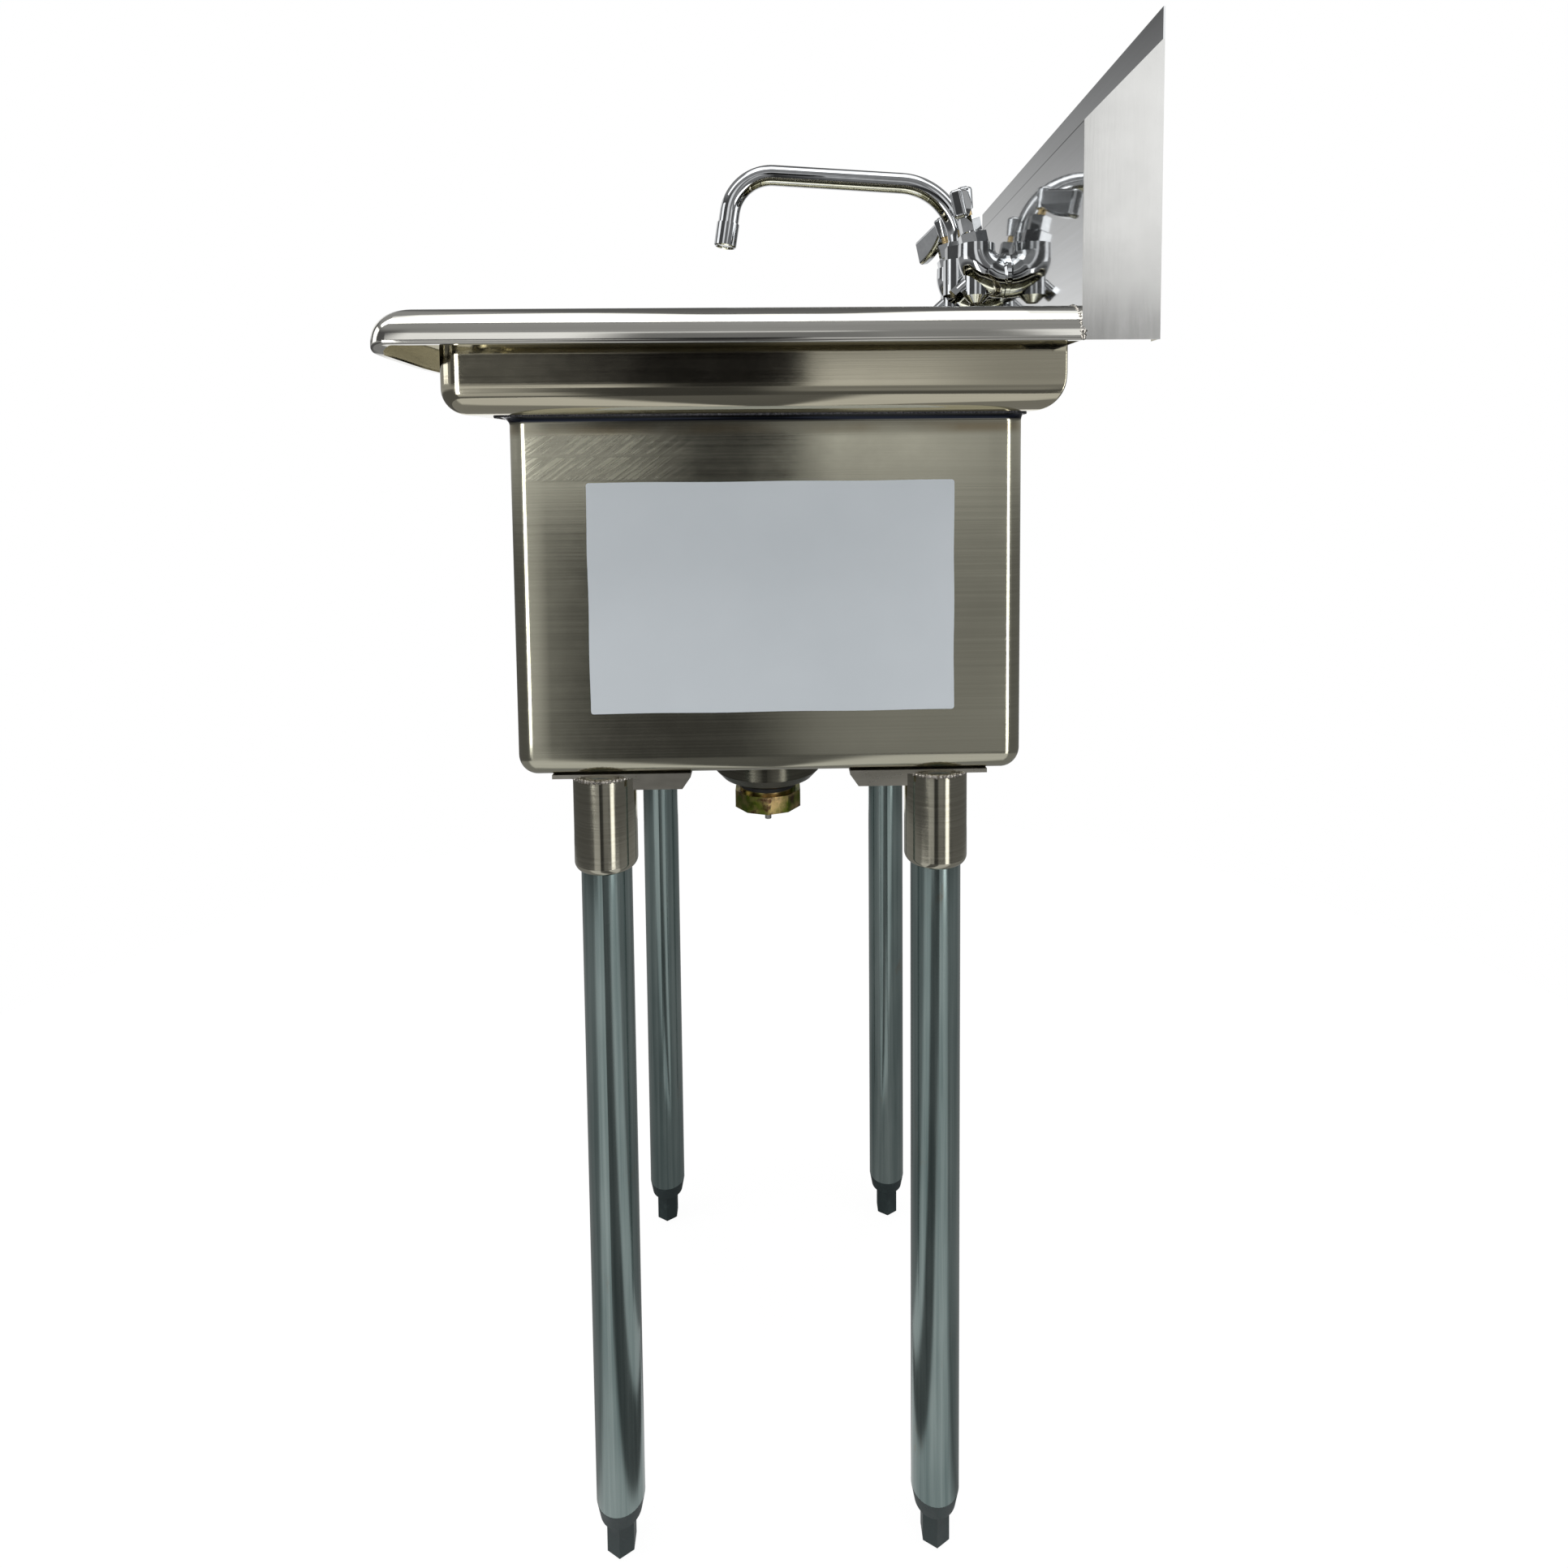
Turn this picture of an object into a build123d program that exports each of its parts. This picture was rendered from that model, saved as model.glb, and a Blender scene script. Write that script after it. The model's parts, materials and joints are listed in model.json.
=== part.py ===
from build123d import *
import math
import os

os.makedirs("parts", exist_ok=True)

# Stainless one-bowl utility sink with a high splash, four tubular legs and a splash-mounted tap.
# Millimetres. +X is the user's right, +Y is the wall, +Z is up; the origin is on the floor,
# below the middle of the overall box. Every size that can be set by itself is named once here.

# Sheet metal
sheet = 1.2
bend_radius = 2.5

# Rim and deck pan, both laid out around the bowl
rim_top_z = 966.0
rim_drop = 24.8
rim_roll_radius = 22.0
rim_corner_radius = 24.0
rim_hem = 5.0
deck_width = 31.5
deck_edge_radius = 5.0
pan_ledge = 36.5
pan_rear_ledge = 17.5
pan_depth = 67.7
pan_corner_radius = 18.0
pan_bottom_radius = 17.5
pan_rear_radius = 22.0

# Backsplash
splash_depth = 50.5
splash_face_height = 113.1
splash_flange_height = 20.1
cap_return_width = 12.0
cap_return_gap = 6.0

# Bowl
bowl_width = 372.0
bowl_depth = 263.3
bowl_corner_radius = 14.5
bowl_bottom_radius = 14.0
flare_height = 6.3
flare_side = 9.0
flare_rear = 2.0
flare_corner_radius = 20.0

# Blank label plate on the right side of the bowl
label_width = 264.6
label_height = 168.1
label_thickness = 0.3
label_corner_radius = 6.0
label_offset_y = 2.4
label_below_rim = 199.5

# Gusset plates, leg sockets and set screws
gusset_thickness = 3.0
gusset_inset_x = 8.0
gusset_inset_y = 25.0
gusset_length_x = 82.0
gusset_length_y = 102.0
gusset_inner_edge = 30.0
gusset_lip_height = 9.0
gusset_lip_slant = 6.3
leg_inset_x = 25.2
leg_inset_y = 60.6
leg_diameter = 38.1
leg_wall = 1.5
leg_fit = 0.25
socket_diameter = 47.5
socket_height = 73.0
socket_edge_radius = 6.0
screw_diameter = 8.0
screw_length = 7.0
screw_height = 24.0
screw_fit = 0.05
screw_key = 4.0
screw_key_depth = 3.0

# Adjustable feet
foot_extension = 33.0
sleeve_cone_height = 13.0
sleeve_cone_diameter = 33.0
sleeve_plug_length = 40.0
sleeve_plug_fit = 0.1
sleeve_top_thickness = 8.0
foot_corner_diameter = 24.4
foot_fit = 0.4
foot_guide = 11.0
foot_chamfer = 3.0
stud_diameter = 12.0
stud_length = 53.0
stud_fit = 0.05

# Drain
drain_y = -4.0
drain_hole_diameter = 89.0
drain_flange_diameter = 114.0
drain_flange_thickness = 2.0
drain_flange_bevel = 1.0
drain_throat_diameter = 88.0
drain_throat_wall = 1.5
drain_throat_depth = 30.0
drain_gasket_thickness = 1.5
drain_gasket_inset = 2.0
drain_gasket_clearance = 0.5
drain_slot_count = 8
drain_slot_diameter = 9.0
drain_slot_circle = 50.0
cup_diameter = 98.0
cup_wall = 1.5
cup_side_height = 53.5
cup_shoulder_height = 7.5
cup_shoulder_diameter = 84.0
cup_taper_height = 5.0
cup_bottom_diameter = 57.0
tail_diameter = 47.0
tail_wall = 3.0
tail_length = 19.5
tail_web_thickness = 6.0
tail_web_width = 5.0
tail_web_bite = 0.5
tail_hub_diameter = 12.0
outlet_washer_width = 2.3
outlet_washer_thickness = 4.0
outlet_nut_width = 6.3
outlet_nut_collar_height = 2.5
outlet_nut_height = 15.7
outlet_nut_sides = 10
outlet_fit = 0.2
centre_screw_diameter = 6.0
centre_screw_below_nut = 15.0
centre_screw_head_diameter = 13.0
centre_screw_head_height = 3.0

# Lift-out strainer basket
basket_gap = 0.5
basket_height = 25.0
basket_taper = 4.0
basket_wall = 1.0
basket_rim_width = 3.6
basket_hole_count = 12
basket_hole_diameter = 5.0
basket_hole_circle = 58.0
basket_post_diameter = 6.0
basket_post_height = 30.0
basket_knob_diameter = 18.0
basket_knob_height = 8.0

# Tap
inlet_spacing = 101.6
inlet_above_rim = 54.0
inlet_diameter = 20.9
shank_shoulder = 21.6
shank_start = 3.0
inlet_bore = 13.0
inlet_length = 44.5
inlet_hole_diameter = 22.4
neck_diameter = 23.0
wall_flange_diameter = 38.0
wall_flange_gap = 1.6
wall_flange_edge = 1.6
wall_flange_neck = 26.0
wall_flange_curve = 14.0
shank_fit = 0.1
shank_washer_diameter = 34.0
shank_washer_thickness = 2.0
shank_nut_flats = 28.0
shank_nut_height = 8.0
valve_from_splash = 24.0
valve_barrel_diameter = 23.0
valve_barrel_top = 23.0
valve_barrel_bottom = 17.0
valve_shoulder_height = 5.0
valve_shoulder_width = 2.0
valve_tip_height = 6.0
valve_tip_diameter = 10.0
valve_lean = 12.0
valve_seat_rise = 26.0
valve_seat_forward = 2.0
valve_seat_length = 20.0
valve_seat_diameter = 22.0
bridge_diameter = 18.0
bonnet_flats = 22.0
bonnet_height = 9.5
packing_flats = 16.5
packing_height = 12.5
packing_gap = 1.5
packing_neck_diameter = 13.5
cartridge_diameter = 15.8
cartridge_length = 20.0
cartridge_fit = 0.05
stem_diameter = 7.0
stem_fit = 0.1
stem_above_packing = 10.0
stem_bottom_gap = 2.0
plug_flats = 12.0
plug_height = 5.0
plug_boss_diameter = 12.0
plug_boss_reach = 20.5
plug_angle = 42.0

# Lever handles
hub_diameter = 15.5
hub_foot_diameter = 10.5
hub_height = 17.5
hub_gap = 7.0
hub_top_radius = 2.0
lever_reach = 46.0
lever_turn = 22.0
lever_width = 10.6
lever_tip_height = 23.0
lever_droop = 8.0
lever_root_height = 14.0
lever_curve = 90.0
lever_radius = 3.0
lever_below_top = 1.0
handle_fit = 0.01
handle_screw_diameter = 8.0
handle_screw_height = 1.5

# Swing spout
spout_from_splash = 29.5
spout_diameter = 18.0
spout_wall = 1.2
spout_reach = 201.0
spout_corner_rise = 89.0
spout_slope = 3.6
spout_rear_bend = 55.0
spout_front_bend = 38.0
spout_tip_drop = 65.5
spout_tip_lean = 9.0
boss_diameter = 27.0
boss_top = 23.0
boss_bottom = 8.0
boss_bore = 22.0
boss_bore_depth = 19.0
bush_height = 12.0
bush_fit = 0.05
collar_diameter = 21.2
collar_height = 3.5
collar_gap = 0.5
spout_nut_flats = 22.0
spout_nut_height = 16.0
spout_nut_fit = 0.3
spout_nut_cone = 4.0
spout_nut_lip = 0.8
aerator_diameter = 20.0
aerator_length = 21.0
aerator_bore = 15.0
aerator_chamfer = 1.0
aerator_insert = 1.2
aerator_insert_depth = 4.0
aerator_insert_bite = 0.5

# Sizes that follow from the driving ones
bowl_half = bowl_width / 2
pan_side_x = bowl_half + pan_ledge
pan_front_y = -pan_side_x
rim_half_width = pan_side_x + deck_width
rim_front_y = -rim_half_width
rim_bottom_z = rim_top_z - rim_drop
splash_face_y = bowl_half + pan_rear_ledge
wall_y = splash_face_y + splash_depth
pan_rear_y = splash_face_y + sheet
pan_bottom_z = rim_top_z - pan_depth
seam_z = rim_top_z - deck_edge_radius
crease_z = rim_top_z + splash_face_height
slope_run = splash_depth - sheet
slope_top_z = crease_z + slope_run
splash_top_z = slope_top_z + splash_flange_height
bowl_bottom_z = pan_bottom_z - bowl_depth
bowl_floor_z = bowl_bottom_z + sheet
gusset_bottom_z = bowl_bottom_z - gusset_thickness
socket_bottom_z = gusset_bottom_z - socket_height
leg_x = bowl_half - leg_inset_x
leg_y = bowl_half - leg_inset_y
leg_radius = leg_diameter / 2
leg_inner_radius = leg_radius - leg_wall
tube_end_z = foot_extension + sleeve_cone_height
inlet_z = rim_top_z + inlet_above_rim
valve_y = splash_face_y - valve_from_splash
spout_y = splash_face_y - spout_from_splash
boss_top_z = inlet_z + boss_top
sides = (("left", -1), ("right", 1))
corners = (("front_left", -1, -1), ("front_right", 1, -1), ("rear_left", -1, 1), ("rear_right", 1, 1))


def save(name, shape):
    export_step(shape, "parts/" + name + ".step")


def rounded_block(x0, x1, y0, y1, z0, z1, corner):
    # A block with rounded upright corners, between two heights.
    outline = RectangleRounded(x1 - x0, y1 - y0, corner)
    return Pos((x0 + x1) / 2, (y0 + y1) / 2, z0) * extrude(outline, z1 - z0)


def block(x0, x1, y0, y1, z0, z1):
    centre = Pos((x0 + x1) / 2, (y0 + y1) / 2, (z0 + z1) / 2)
    return centre * Box(abs(x1 - x0), abs(y1 - y0), abs(z1 - z0))


def edges_at(shape, z):
    # Every edge that lies wholly at one height.
    return [e for e in shape.edges() if abs(e.bounding_box().min.Z - z) < 0.01
            and abs(e.bounding_box().max.Z - z) < 0.01]


def rod(diameter, z0, z1, x=0.0, y=0.0):
    return Pos(x, y, (z0 + z1) / 2) * Cylinder(diameter / 2, z1 - z0)


def ring(outer, inner, z0, z1, x=0.0, y=0.0):
    return rod(outer, z0, z1, x, y) - rod(inner, z0 - 1, z1 + 1, x, y)


def turned(points, x=0.0, y=0.0):
    # A solid turned about an upright axis from a closed outline of radius and height.
    outline = make_face(Plane.XZ * Polyline(points, close=True))
    return Pos(x, y, 0) * revolve(outline, Axis.Z)


def hex_nut(flats, hole, z0, z1, count=6):
    outline = RegularPolygon(flats / 2, count, major_radius=False)
    nut = Pos(0, 0, z0) * extrude(outline, z1 - z0)
    return nut - rod(hole, z0 - 1, z1 + 1)


def one(shape):
    # A boolean of one piece, taken out of its compound.
    return shape.solids().sort_by(SortBy.VOLUME)[-1]


def pan_form(inset):
    # The pan's outer or inner form: rounded front corners, and a rear wall that meets the sides
    # square, with a bend of its own along the bottom.
    side = pan_side_x - inset
    low = pan_bottom_z + inset
    tray = rounded_block(-side, side, pan_front_y + inset, wall_y, low, rim_top_z, pan_corner_radius - inset)
    tray = fillet(edges_at(tray, low), pan_bottom_radius - inset)
    rear = pan_rear_y - inset
    points = [(pan_front_y - 1, low), (rear, low), (rear, rim_top_z + 1), (pan_front_y - 1, rim_top_z + 1)]
    outline = make_face(Plane.YZ * Polyline([Vector(y, z) for y, z in points], close=True))
    corner = [v for v in outline.vertices() if abs(v.Y - rear) < 0.01 and abs(v.Z - low) < 0.01]
    outline = fillet(corner, pan_rear_radius - inset)
    return tray & (Pos(-side - 1, 0, 0) * extrude(outline, 2 * side + 2, dir=(1, 0, 0)))


def pan_loop(shape, z):
    # The edges of the pan's mouth at one height, apart from the rear one.
    return [e for e in edges_at(shape, z) if abs(e.center().X) < pan_side_x + 1
            and pan_front_y - 1 < e.center().Y < splash_face_y - 1]


def sink_top():
    # Rolled rim on three sides with a shallow pan pressed into it. The sheet is the space
    # between its upper and its lower face, and each face is built as a solid of its own.
    back = wall_y + deck_width
    skirt = rounded_block(-rim_half_width, rim_half_width, rim_front_y, back,
                          rim_bottom_z, rim_top_z, rim_corner_radius)
    skirt = fillet(edges_at(skirt, rim_top_z), rim_roll_radius)
    upper = skirt + pan_form(0.0) - pan_form(sheet)
    upper = fillet(pan_loop(upper, rim_top_z), deck_edge_radius)
    under = rounded_block(-rim_half_width + sheet, rim_half_width - sheet, rim_front_y + sheet, back - sheet,
                          rim_bottom_z + sheet, rim_top_z - sheet, rim_corner_radius - sheet)
    under = fillet(edges_at(under, rim_top_z - sheet), rim_roll_radius - sheet)
    hem = sheet + rim_hem
    under = under + rounded_block(-rim_half_width + hem, rim_half_width - hem, rim_front_y + hem, back - hem,
                                  rim_bottom_z - 1, rim_bottom_z + sheet + 1, rim_corner_radius - hem)
    under = under - rounded_block(-pan_side_x, pan_side_x, pan_front_y, wall_y,
                                  pan_bottom_z, rim_top_z, pan_corner_radius)
    under = fillet(pan_loop(under, rim_top_z - sheet), deck_edge_radius - sheet)
    top = upper - under
    far = wall_y + 2 * deck_width
    wide = rim_half_width + 1
    top = top - block(-wide, wide, pan_rear_y, far, pan_bottom_z - 1, rim_top_z + 1)
    top = top - block(-wide, wide, splash_face_y, far, seam_z, rim_top_z + 1)
    for side in (-1, 1):
        top = top - block(side * pan_side_x, side * wide, splash_face_y, far, pan_bottom_z - 1, seam_z)
    opening = bowl_mouth(sheet, pan_bottom_z - 1, pan_bottom_z + sheet + 1)
    return one(top - opening)


def bowl_mouth(inset, z0, z1):
    # The bowl's mouth: wider than the bowl at the sides and front, and less so at the rear.
    half = bowl_half + flare_side - inset
    return rounded_block(-half, half, -half, bowl_half + flare_rear - inset,
                         z0, z1, flare_corner_radius - inset)


def bowl_form(inset):
    half = bowl_half - inset
    top_z = pan_bottom_z
    form = rounded_block(-half, half, -half, half, bowl_bottom_z + inset, top_z, bowl_corner_radius - inset)
    form = fillet(edges_at(form, bowl_bottom_z + inset), bowl_bottom_radius - inset)
    low = Pos(0, 0, top_z - flare_height) * RectangleRounded(2 * half, 2 * half, bowl_corner_radius - inset)
    depth = 2 * bowl_half + flare_side + flare_rear - 2 * inset
    mouth = RectangleRounded(2 * (bowl_half + flare_side - inset), depth, flare_corner_radius - inset)
    high = Pos(0, (flare_rear - flare_side) / 2, top_z) * mouth
    return form + loft([low, high], ruled=True)


def bowl():
    shell = bowl_form(0.0) - bowl_form(sheet)
    return one(shell - rod(drain_hole_diameter, bowl_bottom_z - 1, bowl_floor_z + 1, 0, drain_y))


def side_label():
    # A blank plate stuck to the right side of the bowl.
    outline = RectangleRounded(label_width, label_height, label_corner_radius)
    plate = extrude(Plane.YZ * outline, label_thickness)
    return Pos(bowl_half, label_offset_y, rim_top_z - label_below_rim) * plate


def splash_side(offset):
    # The bent line of the splash, moved back by the offset: face, slope and wall flange.
    shift = offset * math.tan(math.radians(22.5))
    front = splash_face_y + offset
    back = splash_face_y + slope_run + offset
    return [(front, seam_z), (front, crease_z - shift), (back, slope_top_z - shift), (back, splash_top_z)]


def backsplash():
    points = splash_side(0.0) + splash_side(sheet)[::-1]
    outline = make_face(Plane.YZ * Polyline([Vector(y, z) for y, z in points], close=True))
    front_bends = [v for v in outline.vertices() if abs(v.Z - crease_z) < 0.01]
    outline = fillet(front_bends, bend_radius)
    half = rim_half_width - sheet
    panel = Pos(-half, 0, 0) * extrude(outline, 2 * half, dir=(1, 0, 0))
    for side in (-1, 1):
        panel = panel + block(side * half, side * rim_half_width, wall_y - sheet, wall_y,
                              slope_top_z, splash_top_z)
    for side in (-1, 1):
        hole = Rot(90, 0, 0) * Cylinder(inlet_hole_diameter / 2, 4 * sheet)
        panel = panel - Pos(side * inlet_spacing / 2, splash_face_y, inlet_z) * hole
    return one(panel)


def end_cap(side):
    # A plate that closes one end of the splash, with a return at the wall and a tab under the rim.
    outer = rim_half_width
    inner = rim_half_width - sheet
    points = [(splash_face_y, rim_bottom_z), (splash_face_y, crease_z), (wall_y - sheet, slope_top_z),
              (wall_y, slope_top_z), (wall_y, rim_bottom_z)]
    outline = make_face(Plane.YZ * Polyline([Vector(y, z) for y, z in points], close=True))
    plate = Pos(inner, 0, 0) * extrude(outline, sheet, dir=(1, 0, 0))
    top_of_return = slope_top_z - sheet - cap_return_gap
    plate = plate + block(outer - cap_return_width, inner, wall_y - sheet, wall_y,
                          rim_bottom_z, top_of_return)
    plate = plate + block(pan_side_x, inner, splash_face_y, splash_face_y + sheet, rim_bottom_z, seam_z)
    if side < 0:
        plate = mirror(plate, Plane.YZ)
    return one(plate)


def gusset(sx, sy):
    # A plate under one corner of the bowl, cut across its inner corner, with a short lip.
    x1 = bowl_half - gusset_inset_x
    y1 = bowl_half - gusset_inset_y
    x0 = x1 - gusset_length_x
    y0 = y1 - gusset_length_y
    points = [(x1, y1), (x1, y0), (x1 - gusset_inner_edge, y0), (x0, y1 - gusset_inner_edge), (x0, y1)]
    plate = Pos(0, 0, gusset_bottom_z) * extrude(make_face(Polyline(points, close=True)), gusset_thickness)
    lip_end = leg_y - socket_diameter / 2
    low = gusset_bottom_z - gusset_lip_height
    lip_points = [(y0, gusset_bottom_z), (y0 + gusset_lip_slant, low), (lip_end, low),
                  (lip_end, gusset_bottom_z)]
    lip_outline = make_face(Plane.YZ * Polyline([Vector(y, z) for y, z in lip_points], close=True))
    plate = plate + Pos(x1 - gusset_thickness, 0, 0) * extrude(lip_outline, gusset_thickness, dir=(1, 0, 0))
    if sx < 0:
        plate = mirror(plate, Plane.YZ)
    if sy < 0:
        plate = mirror(plate, Plane.XZ)
    return one(plate)


def screw_bore(sx, sy, diameter, length):
    # Along X through the inboard wall of a socket, from the leg's surface outwards.
    start = leg_radius + screw_fit
    return Pos(sx * (leg_x - start - length / 2), sy * leg_y,
               socket_bottom_z + screw_height) * (Rot(0, 90, 0) * Cylinder(diameter / 2, length))


def leg_socket(sx, sy):
    cup = rod(socket_diameter, socket_bottom_z, gusset_bottom_z, sx * leg_x, sy * leg_y)
    cup = fillet(edges_at(cup, socket_bottom_z), min(socket_edge_radius, 0.4 * socket_diameter))
    hole = leg_diameter + 2 * leg_fit
    cup = cup - rod(hole, socket_bottom_z - 1, gusset_bottom_z + 1, sx * leg_x, sy * leg_y)
    return one(cup - screw_bore(sx, sy, screw_diameter + 2 * screw_fit, socket_diameter / 2))


def set_screw(sx, sy):
    screw = screw_bore(sx, sy, screw_diameter, screw_length)
    key = extrude(RegularPolygon(screw_key / 2, 6, major_radius=False), screw_key_depth)
    outer_x = leg_x - leg_radius - screw_fit - screw_length
    turn = Rot(0, 90, 0) if sx > 0 else Rot(0, -90, 0)
    return one(screw - Pos(sx * outer_x, sy * leg_y, socket_bottom_z + screw_height) * (turn * key))


def leg(sx, sy):
    return ring(leg_diameter, 2 * leg_inner_radius, tube_end_z, gusset_bottom_z, sx * leg_x, sy * leg_y)


def foot_sleeve(sx, sy):
    # A plug pressed into the leg's end, with a cone below it and a bore that the foot slides in.
    x = sx * leg_x
    y = sy * leg_y
    bore = foot_corner_diameter / 2 + foot_fit
    plug = leg_inner_radius - sleeve_plug_fit
    top = tube_end_z + sleeve_plug_length
    points = [(bore, foot_extension), (sleeve_cone_diameter / 2, foot_extension), (leg_radius, tube_end_z),
              (plug, tube_end_z), (plug, top), (stud_diameter / 2 + stud_fit, top),
              (stud_diameter / 2 + stud_fit, top - sleeve_top_thickness), (bore, top - sleeve_top_thickness)]
    return turned(points, x, y)


def foot(sx, sy):
    # A hexagonal foot with a chamfered sole and a threaded stud.
    neck_top = foot_extension + foot_guide
    neck = extrude(RegularPolygon(foot_corner_diameter / 2, 6), neck_top)
    neck = chamfer(edges_at(neck, 0.0), foot_chamfer)
    stud = rod(stud_diameter, neck_top - 1, neck_top + stud_length)
    return Pos(sx * leg_x, sy * leg_y, 0) * one(neck + stud)


def drain_levels():
    # Heights down the drain: flange seat, underside gasket, cup, tail, washer and nut.
    seat = bowl_floor_z + drain_gasket_thickness
    cup_top = bowl_bottom_z - drain_gasket_thickness
    shoulder_top = cup_top - cup_side_height
    taper_top = shoulder_top - cup_shoulder_height
    cup_floor = taper_top - cup_taper_height
    washer_top = cup_floor - cup_wall
    nut_top = washer_top - outlet_washer_thickness
    nut_bottom = nut_top - outlet_nut_collar_height - outlet_nut_height
    return seat, cup_top, shoulder_top, taper_top, cup_floor, washer_top, nut_top, nut_bottom


def drain_flange():
    # The polished ring in the bowl, its throat and its slotted floor.
    seat = drain_levels()[0]
    top = seat + drain_flange_thickness
    throat = drain_throat_diameter / 2
    inner = throat - drain_throat_wall
    floor = seat - drain_throat_depth
    edge = drain_flange_diameter / 2
    points = [(inner, top), (edge - drain_flange_bevel, top), (edge, seat),
              (throat, seat), (throat, floor - drain_throat_wall),
              (centre_screw_diameter / 2 + screw_fit, floor - drain_throat_wall),
              (centre_screw_diameter / 2 + screw_fit, floor), (inner, floor)]
    body = turned(points, 0, drain_y)
    for i in range(drain_slot_count):
        turn = math.radians(i * 360 / drain_slot_count)
        x = drain_slot_circle / 2 * math.cos(turn)
        y = drain_y + drain_slot_circle / 2 * math.sin(turn)
        body = body - rod(drain_slot_diameter, floor - drain_throat_wall - 1, floor + 1, x, y)
    return one(body)


def drain_gaskets():
    seat, cup_top = drain_levels()[:2]
    hole = drain_hole_diameter + 2 * drain_gasket_clearance
    upper = ring(drain_flange_diameter - 2 * drain_gasket_inset, hole, bowl_floor_z, seat, 0, drain_y)
    lower = ring(cup_diameter, hole, cup_top, bowl_bottom_z, 0, drain_y)
    return Compound([upper, lower])


def drain_cup():
    # The shell under the bowl, tapering to a threaded tail with a three-armed web in it.
    cup_top, shoulder_top, taper_top, cup_floor, washer_top = drain_levels()[1:6]
    outer = cup_diameter / 2
    shoulder = cup_shoulder_diameter / 2
    tail = tail_diameter / 2
    tail_end = washer_top - tail_length
    bottom = cup_bottom_diameter / 2
    points = [(outer, cup_top), (outer, shoulder_top), (shoulder, taper_top), (bottom, washer_top),
              (tail, washer_top), (tail, tail_end), (tail - tail_wall, tail_end),
              (tail - tail_wall, cup_floor), (bottom - cup_wall, cup_floor),
              (shoulder - cup_wall, taper_top + cup_wall), (outer - cup_wall, shoulder_top),
              (outer - cup_wall, cup_top)]
    cup = turned(points, 0, drain_y)
    cup = cup + rod(tail_hub_diameter, tail_end, tail_end + tail_web_thickness, 0, drain_y)
    for i in range(3):
        arm = block(0, tail - tail_wall + tail_web_bite, -tail_web_width / 2, tail_web_width / 2,
                    tail_end, tail_end + tail_web_thickness)
        cup = cup + Pos(0, drain_y, 0) * (Rot(0, 0, 120 * i + 90) * arm)
    hole = centre_screw_diameter + 2 * screw_fit
    return one(cup - rod(hole, tail_end - 1, tail_end + tail_web_thickness + 1, 0, drain_y))


def outlet_washer():
    washer_top, nut_top = drain_levels()[5:7]
    hole = tail_diameter + 2 * outlet_fit
    return ring(hole + 2 * outlet_washer_width, hole, nut_top, washer_top, 0, drain_y)


def outlet_nut():
    nut_top, nut_bottom = drain_levels()[6:]
    hole = tail_diameter + 2 * outlet_fit
    collar_bottom = nut_top - outlet_nut_collar_height
    nut = hex_nut(hole + 2 * outlet_nut_width, hole, nut_bottom, collar_bottom, outlet_nut_sides)
    nut = nut + ring(hole + 2 * outlet_washer_width, hole, collar_bottom, nut_top)
    return Pos(0, drain_y, 0) * one(nut)


def drain_screw():
    # The long screw that pulls the flange and the cup together; its end shows below the nut.
    seat = drain_levels()[0]
    nut_bottom = drain_levels()[7]
    floor = seat - drain_throat_depth
    screw = rod(centre_screw_diameter, nut_bottom - centre_screw_below_nut, floor + 1, 0, drain_y)
    return one(screw + rod(centre_screw_head_diameter, floor, floor + centre_screw_head_height, 0, drain_y))


def strainer_basket():
    # A lift-out basket that hangs by its rim on the drain flange, with a post and a knob.
    seat = drain_levels()[0]
    rim_z = seat + drain_flange_thickness
    outer = drain_throat_diameter / 2 - drain_throat_wall - basket_gap
    foot_radius = outer - basket_taper
    low = rim_z - basket_height
    points = [(outer - basket_wall, rim_z + basket_wall), (outer + basket_rim_width, rim_z + basket_wall),
              (outer + basket_rim_width, rim_z), (outer, rim_z), (foot_radius, low), (0, low),
              (0, low + basket_wall), (foot_radius - basket_wall, low + basket_wall)]
    body = turned(points, 0, drain_y)
    for i in range(basket_hole_count):
        turn = math.radians(i * 360 / basket_hole_count)
        x = basket_hole_circle / 2 * math.cos(turn)
        y = drain_y + basket_hole_circle / 2 * math.sin(turn)
        body = body - rod(basket_hole_diameter, low - 1, low + basket_wall + 1, x, y)
    return one(body)


def basket_post():
    low = drain_levels()[0] + drain_flange_thickness - basket_height + basket_wall
    knob_low = low + basket_post_height
    knob_top = knob_low + basket_knob_height
    post = rod(basket_post_diameter, low, knob_low, 0, drain_y)
    knob = rod(basket_knob_diameter, knob_low, knob_top, 0, drain_y)
    knob = fillet(edges_at(knob, knob_top), basket_knob_height / 3)
    return one(post + knob)


def along_wall(shape, side, y):
    # Takes a piece built upwards on the Z axis and lays it along +Y at one inlet.
    return Pos(side * inlet_spacing / 2, y, inlet_z) * (Rot(-90, 0, 0) * shape)


def on_valve(shape, side):
    # Takes a piece built upwards on the Z axis and leans it on one valve's seat.
    seat = Pos(side * inlet_spacing / 2, valve_y - valve_seat_forward, inlet_z + valve_seat_rise)
    return seat * (Rot(valve_lean, 0, 0) * shape)


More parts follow.
